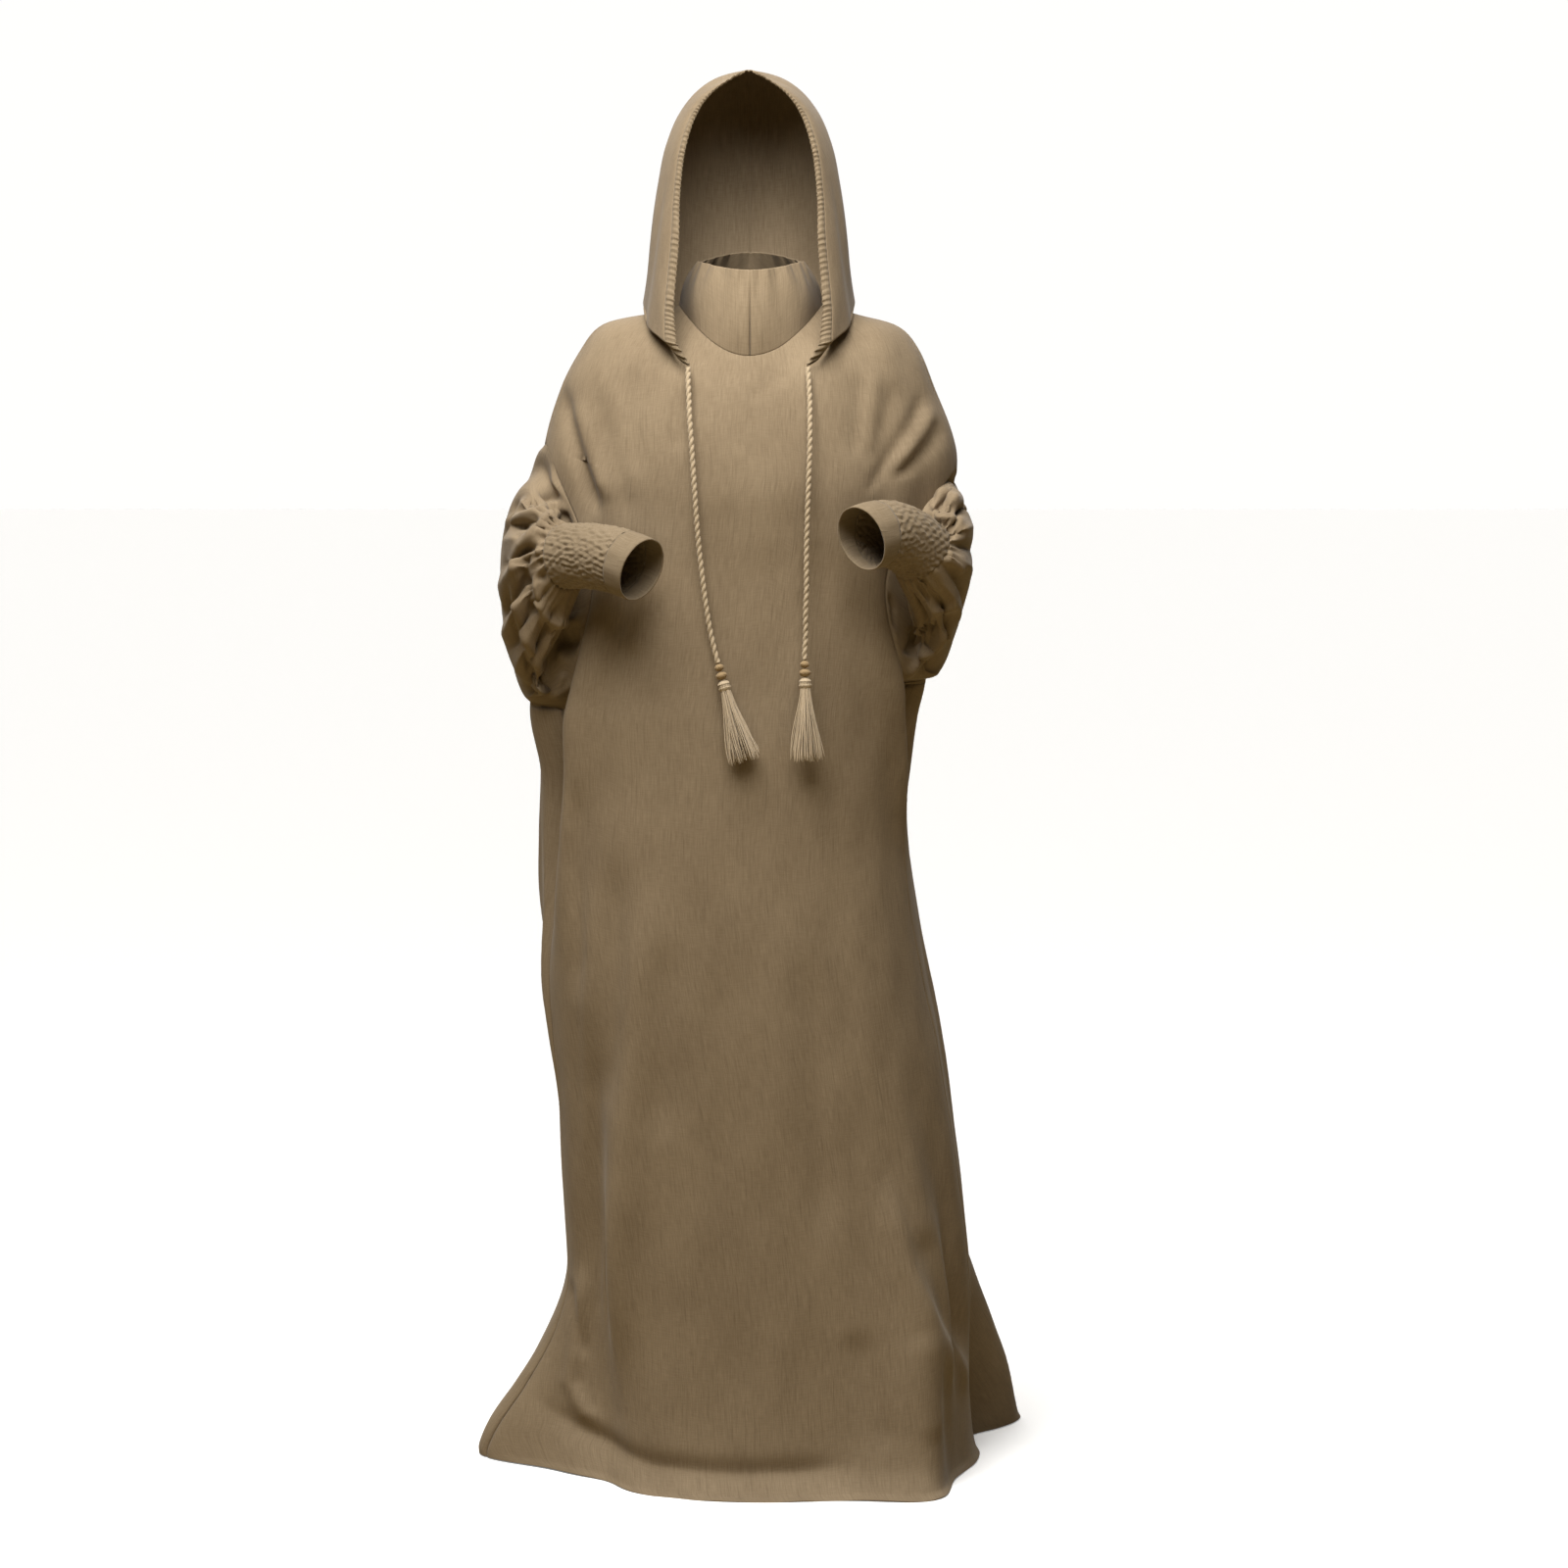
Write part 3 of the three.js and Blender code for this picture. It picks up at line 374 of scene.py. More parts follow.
# Tassel head: a rounded, fluted form with a binding of thread sunk into it.
def tasselHead():
    t = np.linspace(0, 1, tassel["headRows"])
    turn = np.arange(tassel["headSides"]) * 2 * math.pi / tassel["headSides"]
    profile = tassel["head"] * np.sin(math.pi * np.clip(t, 0.002, 0.998)) ** 0.45
    low, high = tassel["binding"]
    thread = 0.86 + 0.05 * np.cos(t * 2 * math.pi * tassel["bindingTurns"])
    bound = np.where((t > low) & (t < high), thread, 1)
    return turnedPoints(t * tassel["headHeight"], (profile * bound)[:, None]
                        * (1 + 0.05 * np.cos(tassel["flutes"] * turn)), tassel["headSides"])


def makeTassel(side, top, lean, seed):
    points, faces, first = [], [], 0
    for grid in [*tasselStrands(seed), tasselHead()]:
        rows, columns = grid.shape[:2]
        faces.append(first + gridFaces(gridCorners(rows, columns, True), columns))
        points.append(grid.reshape(-1, 3))
        first += rows * columns
    placed = leaned(np.concatenate(points), lean, top)
    mesh = bpy.data.meshes.new(f"tassel_strands_{side}")
    mesh.from_pydata(toFrame(placed), [], np.concatenate(faces)[:, ::-1])
    piece = finishPiece(f"tassel_strands_{side}", mesh, tasselYarn)
    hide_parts(f"tassel_{side}")
    return piece


seam = 0.3
for side, (piece, length, centres) in cordPieces.items():
    lean = np.array(tasselLean[side]) / np.linalg.norm(tasselLean[side])
    reach = seam
    for name, radius, height in beads:
        makeBead(side, name, radius, height, centres[-1] + lean * reach, lean)
        reach += height + seam
    makeTassel(side, centres[-1] + lean * reach, lean, tasselSeed[side])

print("body")
body = {"columns": 128, "crowding": 0.09, "skirtRows": 165, "armRows": 90, "shoulderRows": 38,
        "neckRows": 9, "wall": 1.3}
skirtHeights = [0, 14, 40, 90, 150, 220, 310, 410, 520, 640, 760, 850]
bodyRings = np.array([  # path, side, front, back, left, right, frontY, backY, square
    [0, 1, 1, 1, -246, 282, -250, 265, 2.1],
    [14, 11, 5, 9, -247, 277, -233, 257, 2.1],
    [40, 38, 30, 36, -241, 272, -214, 248, 2.15],
    [90, 89, 82, 88, -228, 268, -203, 238, 2.2],
    [220, 220, 218, 220, -222, 268, -190, 216, 2.3],
    [340, 340, 340, 340, -229, 257, -183, 204, 2.3],
    [460, 460, 460, 460, -234, 239, -179, 194, 2.3],
    [520, 520, 520, 520, -241, 229, -177, 190, 2.3],
    [600, 600, 600, 600, -248, 213, -174, 184, 2.3],
    [680, 680, 680, 680, -252, 200, -171, 178, 2.3],
    [760, 760, 760, 760, -252, 193, -169, 172, 2.25],
    [840, 840, 840, 840, -253, 199, -166, 164, 2.2],
    [905, 905, 905, 905, -264, 206, -164, 160, 2.15],
    [945, 945, 945, 945, -262, 214, -162, 157, 2.1],
    [1070, 1070, 1070, 1070, -251, 226, -158, 150, 2],
    [1150, 1150, 1133, 1140, -247, 243, -161, 145, 2],
    [1225, 1225, 1182, 1202, -247, 251, -163, 139, 2],
    [1300, 1300, 1234, 1262, -227, 223, -156, 130, 2],
    [1350, 1346, 1268, 1305, -203, 203, -147, 121, 2],
    [1400, 1375, 1296, 1340, -174, 176, -136, 109, 2],
    [1445, 1388, 1317, 1368, -119, 124, -122, 95, 2],
    [1490, 1399, 1336, 1390, -84, 88, -108, 78, 2]])
seamAngles = np.array([  # path, left, right in degrees from centre front
    [0, 84, 96], [110, 82, 88], [300, 80, 82], [600, 76, 76], [930, 70, 70], [1080, 72, 72],
    [1230, 82, 82], [1320, 82, 82], [1490, 90, 90]])
bodyFolds = [  # low, peak and high along the cloth, angle at both ends, width, push outward
    (-1, 0, 245, -88, -88, 13, 85), (-1, 0, 360, -50, -58, 11, -20), (-1, 0, 420, 38, 37, 13, 54),
    (-1, 0, 300, 103, 100, 8, -28), (-1, 0, 310, 119, 108, 13, 104),
    (560, 900, 1120, -66, -36, 8, 15), (560, 900, 1150, -82, -51, 9, -52),
    (720, 930, 1120, 80, 34, 8, 13), (720, 930, 1150, 95, 49, 8, -40),
    (0, 330, 700, -50, -30, 8, 12), (0, 300, 640, -66, -48, 9, -18),
    (0, 230, 520, 62, 40, 7, 8), (0, 230, 520, 76, 56, 8, -12),
    (1040, 1200, 1370, -40, -62, 5, -4), (1060, 1190, 1340, 36, 46, 4, -3),
    (-1, 0, 820, 150, 154, 12, 30), (-1, 0, 870, 184, 182, 13, 34),
    (-1, 0, 800, 216, 210, 12, 28), (-1, 0, 460, 246, 240, 11, 34)]
backFolds = [  # the back's and the sides' finer folds, in the same columns
    (60, 500, 1010, 132, 138, 4, 8), (200, 620, 1060, 166, 160, 4, -8), (30, 360, 900, 198, 194, 4, 8),
    (300, 700, 1150, 232, 222, 4, -8), (0, 280, 720, 172, 176, 3.5, 6), (90, 420, 860, 146, 150, 3, -6),
    (820, 1010, 1230, 118, 138, 4, -11), (830, 1020, 1240, 242, 224, 4, -11),
    (980, 1160, 1330, 128, 150, 3.5, -8), (980, 1150, 1330, 232, 212, 3.5, -8),
    (540, 760, 950, 112, 104, 3.5, 8), (520, 720, 930, 256, 262, 4, 10),
    (360, 620, 820, -78, -84, 3, 8), (300, 560, 800, 88, 92, 3, 6)]
# Folds seen from the front: height (minus is a hollow), width on the left and right of the line
# in millimetres, then points across and up along the line.
frontFolds = [
    (-9, 9, 8, [(-226, 1310), (-214, 1262), (-202, 1222), (-188, 1184), (-174, 1144)]),
    (5, 8, 9, [(-207, 1290), (-194, 1248), (-180, 1204), (-164, 1160)]),
    (-3.5, 14, 14, [(-184, 1310), (-168, 1250), (-150, 1190), (-138, 1130)]),
    (-3, 13, 13, [(-150, 1330), (-138, 1262), (-128, 1190)]),
    (-3, 9, 9, [(-140, 1090), (-146, 1050), (-150, 1000)]),
    (2.5, 8, 8, [(-126, 1080), (-131, 1030), (-135, 980)]),
    (-6, 7, 9, [(213, 1300), (196, 1262), (173, 1228), (155, 1200), (139, 1170)]),
    (6, 7, 7, [(222, 1282), (205, 1248), (184, 1220), (164, 1196)]),
    (-7, 6, 8, [(232, 1262), (216, 1234), (194, 1212), (168, 1192)]),
    (-3, 12, 12, [(176, 1310), (160, 1256), (140, 1204)]),
    (-3.5, 14, 14, [(0, 1282), (20, 1300), (45, 1318)]),
    (-3, 12, 12, [(-62, 1300), (-78, 1268), (-82, 1220)]),
    (3, 11, 11, [(150, 1330), (146, 1270), (138, 1210)]),
    (-3, 10, 10, [(132, 1320), (130, 1262), (126, 1212)]),
    (-6, 10, 20, [(-205, 852), (-206, 734), (-204, 640), (-207, 560)]),
    (3.5, 8, 12, [(-188, 738), (-192, 566), (-195, 338)]),
    (-6, 16, 16, [(-157, 764), (-160, 601), (-170, 425)]),
    (7, 14, 26, [(-125, 743), (-136, 516), (-154, 345), (-166, 201), (-183, 99)]),
    (-4, 18, 18, [(-96, 660), (-101, 517), (-104, 400)]),
    (-2.5, 26, 26, [(-35, 640), (-32, 460), (-30, 289)]),
    (2, 24, 24, [(20, 720), (26, 520), (24, 330)]),
    (-4, 20, 20, [(72, 640), (84, 440), (88, 280)]),
    (8, 20, 9, [(162, 375), (190, 261), (236, 158), (276, 66)]),
    (-7, 14, 14, [(205, 309), (234, 215), (262, 130)]),
    (-9, 18, 13, [(-276, 88), (-232, 62), (-200, 50), (-160, 38), (-119, 30), (-27, 26), (60, 28),
                  (140, 34)]),
    (-5, 18, 14, [(126, 196), (138, 128), (154, 80), (172, 44)]),
    (4, 18, 18, [(204, 190), (216, 116), (226, 52)]),
    (7, 12, 9, [(-198, 250), (-208, 150), (-216, 104), (-200, 72), (-168, 58)]),
    (-5, 8, 8, [(-219, 229), (-208, 175), (-198, 130)]),
]
vent = {"height": 95, "angle": 5}
armholeFront, armholeBack = 24, 40
underarm = {"left": (916, 1234), "right": (945, 1202)}  # bottom and top of the armhole
hoodPath, neckPath = 1445, 1490


def turnFrom(centre, angle):  # the shorter way round, in degrees
    return (angle - centre + 180) % 360 - 180


# Push of folds that run up the cloth: a bell across each fold, rising and falling along it.
def foldPush(angle, path, folds):
    push = np.zeros(np.broadcast(angle, path).shape)
    for low, peak, high, lowAngle, highAngle, width, depth in folds:
        strength = smooth((path - low) / (peak - low)) * smooth((high - path) / (high - peak))
        centre = mix(lowAngle, highAngle, np.clip((path - low) / (high - low), 0, 1))
        push = push + depth * strength * np.exp(-(turnFrom(centre, angle) / width) ** 2)
    return push


# Body: rings that are superellipses, so |x/half|ⁿ + |y/reach|ⁿ = 1, pushed by the folds.
def bodyPoints(angle, path):
    side, front, back, left, right, frontY, backY, square = np.moveaxis(
        curveThrough(bodyRings[:, 0], bodyRings[:, 1:], path), -1, 0)
    across, ahead = np.sin(np.radians(angle)), np.cos(np.radians(angle))
    x = (right - left) / 2 * np.sign(across) * np.abs(across) ** (2 / square)
    y = np.where(ahead > 0, frontY, backY) * np.abs(ahead) ** (2 / square)
    z = mix(side, np.where(ahead > 0, front, back), ahead ** 2)
    push = foldPush(angle, path, bodyFolds + backFolds) / np.hypot(x, y)
    return np.stack([(left + right) / 2 + x * (1 + push), y * (1 + push), z], axis=-1)


# Push of folds drawn as lines in the front view: the nearest place on the line gives the
# distance, which fades as a bell with its own width on each side of the line. It eases in over
# the given share of the line at both ends, and from cloth that faces sideways to cloth in front.
lineFade = {"reach": 3.2, "ends": 0.22, "ridge": 2, "hollow": 1.6, "sideways": -0.02, "facing": 0.4}


def lineFolds(points, normals, folds):
    flat = points.reshape(-1, 3)[:, [0, 2]]
    push = np.zeros(len(flat))
    for depth, widthLeft, widthRight, line in folds:
        line = np.array(line, float)
        step = np.diff(line, axis=0)
        long = np.linalg.norm(step, axis=1)
        gone = distanceAlong(line)
        reach = lineFade["reach"] * max(widthLeft, widthRight)
        low, high = line.min(axis=0) - reach, line.max(axis=0) + reach
        near = np.where(((flat > low) & (flat < high)).all(axis=1))[0]
        off = flat[near][:, None] - line[None, :-1]
        t = np.clip((off * step).sum(axis=2) / long ** 2, 0, 1)
        apart = off - t[:, :, None] * step
        distance = np.linalg.norm(apart, axis=2)
        best = distance.argmin(axis=1)
        rows = np.arange(len(near))
        along = (gone[best] + t[rows, best] * long[best]) / gone[-1]
        turn = step[best, 0] * apart[rows, best, 1] - step[best, 1] * apart[rows, best, 0]
        goesDown = line[0, 1] > line[-1, 1]
        width = np.where((turn > 0) == goesDown, widthRight, widthLeft)
        ends = smooth(along / lineFade["ends"]) * smooth((1 - along) / lineFade["ends"])
        sharp = lineFade["ridge" if depth > 0 else "hollow"]
        push[near] += depth * ends * np.exp(-(distance[rows, best] / width) ** sharp)
    inFront = smooth((lineFade["sideways"] - normals[..., 1]) / lineFade["facing"])
    return push.reshape(points.shape[:2]) * inFront


# Fine unevenness of hanging cloth: a few crossing waves of uneven length, in millimetres.
rippleWaves = {"count": 9, "shortest": 45, "longest": 150, "lean": 0.35}


def ripple(points, height, seed):
    chance = np.random.default_rng(seed)
    total = np.zeros(points.shape[:2])
    for _ in range(rippleWaves["count"]):
        long = chance.uniform(rippleWaves["shortest"], rippleWaves["longest"])
        lean = chance.normal(0, rippleWaves["lean"])
        wave = np.array([math.cos(lean), math.cos(lean) * 0.8, math.sin(lean) * 0.5]) / long
        total += np.sin(2 * math.pi * (points @ wave) + chance.uniform(0, 6.3))
    return height * total / 3


# Places up an armhole: halfway between even steps of height and even steps of turn.
armPlaces = np.linspace(0, 1, body["armRows"] + 1)
armPlaces = (armPlaces + np.arccos(1 - 2 * armPlaces) / math.pi) / 2


# Heights along the cloth at a side seam, closer together near the hem, and how far the seam is
# open there: half a sine wave over the armhole.
def sideRows(side):
    bottom, top = underarm[side]
    knots = [*skirtHeights, bottom]
    place = np.linspace(0, 1, body["skirtRows"]) ** 1.12 * (len(knots) - 1)
    skirt = np.interp(place, np.arange(len(knots)), knots)
    t = armPlaces[1:]
    arm = (bottom + top) / 2 - (top - bottom) / 2 * np.cos(math.pi * t)
    shoulder = np.linspace(top, hoodPath, body["shoulderRows"] - body["neckRows"])[1:]
    neck = np.linspace(hoodPath, neckPath, body["neckRows"] + 1)[1:]
    opening = np.sin(math.pi * t)
    opening = np.pad(opening, (len(skirt), len(shoulder) + len(neck)))
    return np.concatenate([skirt, arm, shoulder, neck]), opening


def panelGrid(isFront):
    place = np.linspace(0, 1, body["columns"] + 1)
    place = place - body["crowding"] * np.sin(2 * math.pi * place)  # closer towards the side seams
    (leftPath, leftOpen), (rightPath, rightOpen) = sideRows("left"), sideRows("right")
    seamLeft = curveThrough(seamAngles[:, 0], seamAngles[:, 1], leftPath)
    seamRight = curveThrough(seamAngles[:, 0], seamAngles[:, 2], rightPath)
    if isFront:
        first, last = armholeFront * leftOpen - seamLeft, seamRight - armholeFront * rightOpen
        path = mix(leftPath[:, None], rightPath[:, None], place)
    else:
        first, last = seamRight + armholeBack * rightOpen, 360 - seamLeft - armholeBack * leftOpen
        path = mix(leftPath[:, None], rightPath[:, None], 1 - place)
    angle = mix(first[:, None], last[:, None], place)
    if not isFront:
        angle = angle + vent["angle"] * np.maximum(0, 1 - path / vent["height"]) * (1 - place)
    points = bodyPoints(angle, path)
    points[:, 0] += normalised(points[:, 1] - points[:, 0]) * seam / 2
    points[:, -1] += normalised(points[:, -2] - points[:, -1]) * seam / 2
    return points


# Seam: the cloth's edge turns in and runs a little past its neighbour's, as sewn edges do.
seamTuck = {"past": 0.4, "beside": 0.4, "edge": 2.2}


def tucked(points, normals, first=True, last=True):
    points = points.copy()
    for use, edge, beside in ((first, 0, 1), (last, -1, -2)):
        if use:
            past = normalised(points[:, edge] - points[:, beside])
            points[:, beside] -= normals[:, beside] * seamTuck["beside"]
            points[:, edge] += past * seamTuck["past"] - normals[:, edge] * seamTuck["edge"]
    return points


def axisOf(points):  # the body's upright middle line, at each point's height
    return points * [0, 0, 1]


def dressed(points):  # the panel with the folds of the front view and fine unevenness
    normals = gridNormals(points, axisOf(points))
    push = lineFolds(points, normals, frontFolds) + ripple(points, 0.8, 3)
    return points + normals * push[..., None]


frontGrid, backGrid = dressed(panelGrid(True)), dressed(panelGrid(False))
armStart = body["skirtRows"] - 1
armEnd = armStart + body["armRows"]
hoodRow = armEnd + body["shoulderRows"] - body["neckRows"] - 1


def panelPiece(name, grid):
    points = tucked(grid, gridNormals(grid, axisOf(grid)))
    return gridPiece(name, points, axisOf(grid), dressLinen, body["wall"],
                     middle=body["columns"] // 2)


frontPiece, backPiece = panelPiece("front_cloth", frontGrid), panelPiece("back_cloth", backGrid)
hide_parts("front_panel")
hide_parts("back_panel")

print("sleeves")
sleeve = {"rows": 140, "frontColumns": 150, "backColumns": 104, "gathers": 23,
          "gatherDepth": 2.2, "gatherStart": 0.84, "pleatSharp": 1.35, "pleatRise": 0.55,
          "pleatFall": 0.3, "wall": 1.3}
sleevePages = {  # along, out, lean, y, sag, half, turn, top, bottom
    "left": np.array([
        [0.18, 257, -7, -12, 28, 79, 25, 1203, 927], [0.36, 262, 0, -40, 12, 69, 35, 1184, 940],
        [0.52, 260, 0, -72, 0, 53, 52, 1174, 952], [0.68, 253, 0, -102, 0, 38, 80, 1162, 974],
        [0.84, 238, 0, -130, 0, 40, 112, 1150, 1010]]),
    "right": np.array([
        [0.18, 223, 3, -14, 27, 76, 24, 1192, 954], [0.36, 228, 10, -44, 10, 64, 34, 1187, 966],
        [0.52, 228, 12, -74, 0, 50, 52, 1182, 986], [0.68, 225, 8, -103, 0, 39, 80, 1173, 1008],
        [0.84, 217.5, 8, -131, 0, 40, 112, 1158, 1034]]),
}
sleeveFolds = {  # along, its width, degrees round from the top, their width, push
    "left": [(0.5, 0.07, 300, 42, -11), (0.34, 0.09, 240, 32, -8), (0.42, 0.16, 148, 30, -20),
             (0.09, 0.08, 345, 36, 5)],
    "right": [(0.46, 0.07, 310, 34, -9), (0.42, 0.16, 148, 30, -16), (0.12, 0.11, 342, 48, 11)],
}
# Pleats that run back from the cuff: degrees at the cuff and at the far end, how far along the
# far end is, width in degrees, push.
sleevePleats = {
    "left": [
        (14, 2, 0.5, 5.4, -9.6), (352, 338, 0.42, 7.2, 5), (331, 312, 0.5, 5.4, -12),
        (312, 294, 0.36, 6.3, 4.5), (296, 280, 0.55, 4.5, -10.8), (277, 266, 0.44, 7.2, 5.5),
        (256, 249, 0.4, 5.4, -14.4), (240, 236, 0.34, 6.3, 5), (221, 224, 0.52, 5.4, -10.8),
        (203, 206, 0.4, 7.2, 4.5), (183, 190, 0.45, 5.4, -12), (160, 172, 0.6, 6.3, 3.5),
        (38, 32, 0.55, 6.3, 4), (62, 60, 0.62, 5.4, -7.2)],
    "right": [
        (10, 0, 0.42, 6.3, -10.8), (350, 340, 0.5, 7.2, 4.5), (328, 318, 0.36, 5.4, -13.2),
        (309, 299, 0.48, 6.3, 5), (288, 281, 0.42, 5.4, -10.8), (270, 262, 0.56, 6.3, 4.5),
        (250, 240, 0.38, 5.4, -13.2), (229, 226, 0.46, 7.2, 5.5), (208, 212, 0.36, 5.4, -10.8),
        (190, 196, 0.5, 6.3, 4.5), (168, 178, 0.56, 5.4, -9.6), (33, 26, 0.5, 6.3, 4),
        (56, 52, 0.6, 5.4, -7.2)],
}
sleeveLines = {  # as frontFolds, on the sleeves
    "left": [
        (-9.5, 6, 7, [(-234, 1231), (-220, 1208), (-206, 1178), (-189, 1162), (-177, 1146), (-170, 1130)]),
        (5.5, 6, 5, [(-234, 1213), (-228, 1188), (-214, 1172), (-189, 1165), (-170, 1151), (-163, 1133)]),
        (-8.5, 7, 6, [(-222, 1173), (-243, 1166), (-266, 1160), (-285, 1151)]),
        (6.5, 6, 6, [(-293, 1124), (-284, 1140), (-267, 1150), (-238, 1159), (-217, 1166)]),
        (-6.5, 5, 5, [(-242, 1146), (-260, 1139), (-279, 1122)]),
        (8.5, 7, 7, [(-210, 1166), (-227, 1153), (-247, 1131), (-264, 1114), (-275, 1095), (-278, 1072)]),
        (6.5, 6, 7, [(-280, 1071), (-277, 1047), (-265, 1012), (-250, 968), (-240, 931)]),
        (-6.5, 6, 6, [(-284, 1077), (-285, 1049), (-274, 1005), (-257, 958), (-244, 925)]),
        (-11.5, 7, 7, [(-248, 1126), (-262, 1107), (-264, 1081), (-253, 1049), (-236, 1016), (-222, 984)]),
        (7, 6, 6, [(-253, 1086), (-248, 1058), (-238, 1021), (-226, 991), (-216, 966)]),
        (5.5, 5, 5, [(-217, 964), (-226, 945), (-236, 927)]),
        (-6.5, 5, 5, [(-241, 1126), (-227, 1114)]),
        (-6.5, 4, 4, [(-233, 1135), (-220, 1121)]),
        (-6.5, 4, 4, [(-220, 1153), (-211, 1131)]),
        (-5.5, 4, 4, [(-246, 1096), (-227, 1096)]),
        (-5.5, 4, 4, [(-243, 1073), (-232, 1087)]),
        (4, 5, 5, [(-249, 1110), (-232, 1105)]),
        (6.5, 7, 6, [(-248, 1063), (-243, 1031), (-224, 1021), (-203, 1024), (-187, 1038)]),
        (-14.5, 10, 12, [(-235, 1001), (-217, 997), (-193, 1006)]),
        (5.5, 5, 5, [(-232, 930), (-213, 946), (-192, 958)]),
    ],
    "right": [
        (5.5, 6, 6, [(212, 1294), (223, 1257), (235, 1227), (235, 1206), (223, 1193), (193, 1187),
                     (166, 1177)]),
        (-6.5, 5, 5, [(216, 1271), (225, 1243), (229, 1213)]),
        (-7, 6, 6, [(166, 1170), (183, 1175), (204, 1175), (224, 1169)]),
        (7, 6, 6, [(171, 1175), (190, 1183), (213, 1180), (243, 1170), (256, 1153), (262, 1132)]),
        (-7, 5, 5, [(211, 1161), (227, 1159), (245, 1155)]),
        (6.5, 6, 6, [(215, 1148), (236, 1146), (257, 1144)]),
        (-7, 5, 5, [(225, 1132), (241, 1131), (259, 1129)]),
        (6.5, 6, 6, [(217, 1114), (236, 1100), (256, 1082)]),
        (-7, 6, 6, [(201, 1081), (205, 1060), (214, 1044)]),
        (5.5, 5, 5, [(211, 1037), (230, 1037), (251, 1046)]),
        (-7, 5, 5, [(198, 1005), (210, 1015), (228, 1022)]),
        (6.5, 6, 6, [(196, 993), (210, 987), (230, 1002), (244, 1021)]),
        (6.5, 5, 5, [(154, 1063), (164, 1030), (171, 1002), (178, 970), (183, 951)]),
        (6.5, 5, 5, [(184, 949), (198, 969), (219, 994), (241, 1025)]),
        (-8.5, 6, 6, [(189, 980), (198, 1001), (200, 1015)]),
        (-5.5, 4, 4, [(163, 1059), (171, 1038), (170, 1010)]),
    ],
}
cuffs = {
    "left": {"start": (214, -150, 1101), "bend": (168, -187, 1108), "end": (122, -221, 1088),
             "radius": 38},
    "right": {"start": (203, -152, 1106), "bend": (170, -186, 1140), "end": (131, -221, 1124),
              "radius": 38.5},
}
cuffCloth = {"band": 27, "rows": 56, "columns": 200, "puckersRound": 25, "puckersAlong": 8,
             "relief": 1.5, "crinkles": 14, "wall": 1.4, "bandRows": 14, "bandSwell": 0.5,
             "bandWaves": 11, "bandWave": 0.35, "bandWall": 1.6}


# A cuff's middle line, (1-t)² start + 2t(1-t) bend + t² end, with its direction.
def cuffLine(cuff, t):
    start, bend, end = (np.array(cuff[name], float) for name in ("start", "bend", "end"))
    line = (1 - t) ** 2 * start + 2 * t * (1 - t) * bend + t ** 2 * end
    return line, normalised(2 * (1 - t) * (bend - start) + 2 * t * (end - bend))


def cuffDistances(cuff):  # along its middle line, at even steps of t
    t = np.linspace(0, 1, 201)
    return t, distanceAlong(cuffLine(cuff, t[:, None])[0])


# Cuff: rings about its middle line, at distances along it.
def cuffPoints(cuff, distance, turn, radius):
    t, gone = cuffDistances(cuff)
    at = np.interp(np.clip(distance, 0, gone[-1]), gone, t)[:, None]
    centre, axis = cuffLine(cuff, at)
    level = normalised(np.stack([-axis[:, 1], axis[:, 0], 0 * axis[:, 0]], axis=1))
    up = normalised(np.cross(level, axis))
    up = up * np.sign(up[:, 2:])
    centre = centre + axis * np.minimum(distance, 0)[:, None]
    return (centre[:, None] - level[:, None] * (radius * np.sin(turn))[..., None]
            + up[:, None] * (radius * np.cos(turn))[..., None])


mirror = {"left": np.array([-1, 1, 1]), "right": np.array([1, 1, 1])}


# The armhole's rim, from its top down the front edge and back up the back edge.
def armholeRim(side):
    isLeft = side == "left"
    front = frontGrid[armStart:armEnd + 1, 0 if isLeft else -1]
    back = backGrid[armStart:armEnd + 1, -1 if isLeft else 0]
    top, low = (front[-1] + back[-1]) / 2, (front[0] + back[0]) / 2
    return np.concatenate([[top], front[-2:0:-1], [low], back[1:-1]])


def sleeveTurns():  # from the top down the front and back up the back, in radians
    return np.concatenate([np.linspace(0, math.pi, sleeve["frontColumns"] + 1)[:-1],
                           np.linspace(math.pi, 2 * math.pi, sleeve["backColumns"] + 1)[:-1]])


# Sleeve: smooth curves from the armhole through upright rings that turn forward to the cuff.
def sleeveSurface(side, turn, t):
    rim = armholeRim(side) * mirror[side]
    rim = np.concatenate([rim, rim[:1]])
    down = math.pi * (1 - armPlaces[::-1])
    rimTurn = np.concatenate([down, 2 * math.pi - down[-2::-1]])
    rings = [np.stack([np.interp(turn, rimTurn, rim[:, k]) for k in range(3)], axis=1)]
    for along, out, lean, y, sag, half, facing, top, bottom in sleevePages[side]:
        reach = -half * np.sin(turn)
        forward = y - sag * np.minimum(np.cos(turn), 0) ** 2
        rings.append(np.stack([out + lean * np.cos(turn) + reach * math.sin(math.radians(facing)),
                               forward + reach * math.cos(math.radians(facing)),
                               mix(bottom, top, (1 + np.cos(turn)) / 2)], axis=1))
    radius = np.full((1, len(turn)), float(cuffs[side]["radius"]))
    rings.append(cuffPoints(cuffs[side], np.array([-seam]), turn, radius)[0])
    return curveThrough([0, *sleevePages[side][:, 0], 1], np.stack(rings), t)


# Large folds: a bell along the sleeve times a bell round it.
def sleeveFoldPush(side, turn, t):
    push = np.zeros((len(t), len(turn)))
    for along, alongWidth, around, aroundWidth, depth in sleeveFolds[side]:
        off = turnFrom(around, np.degrees(turn))
        push += depth * np.exp(-((t - along) / alongWidth) ** 2 - (off / aroundWidth) ** 2)
    return push


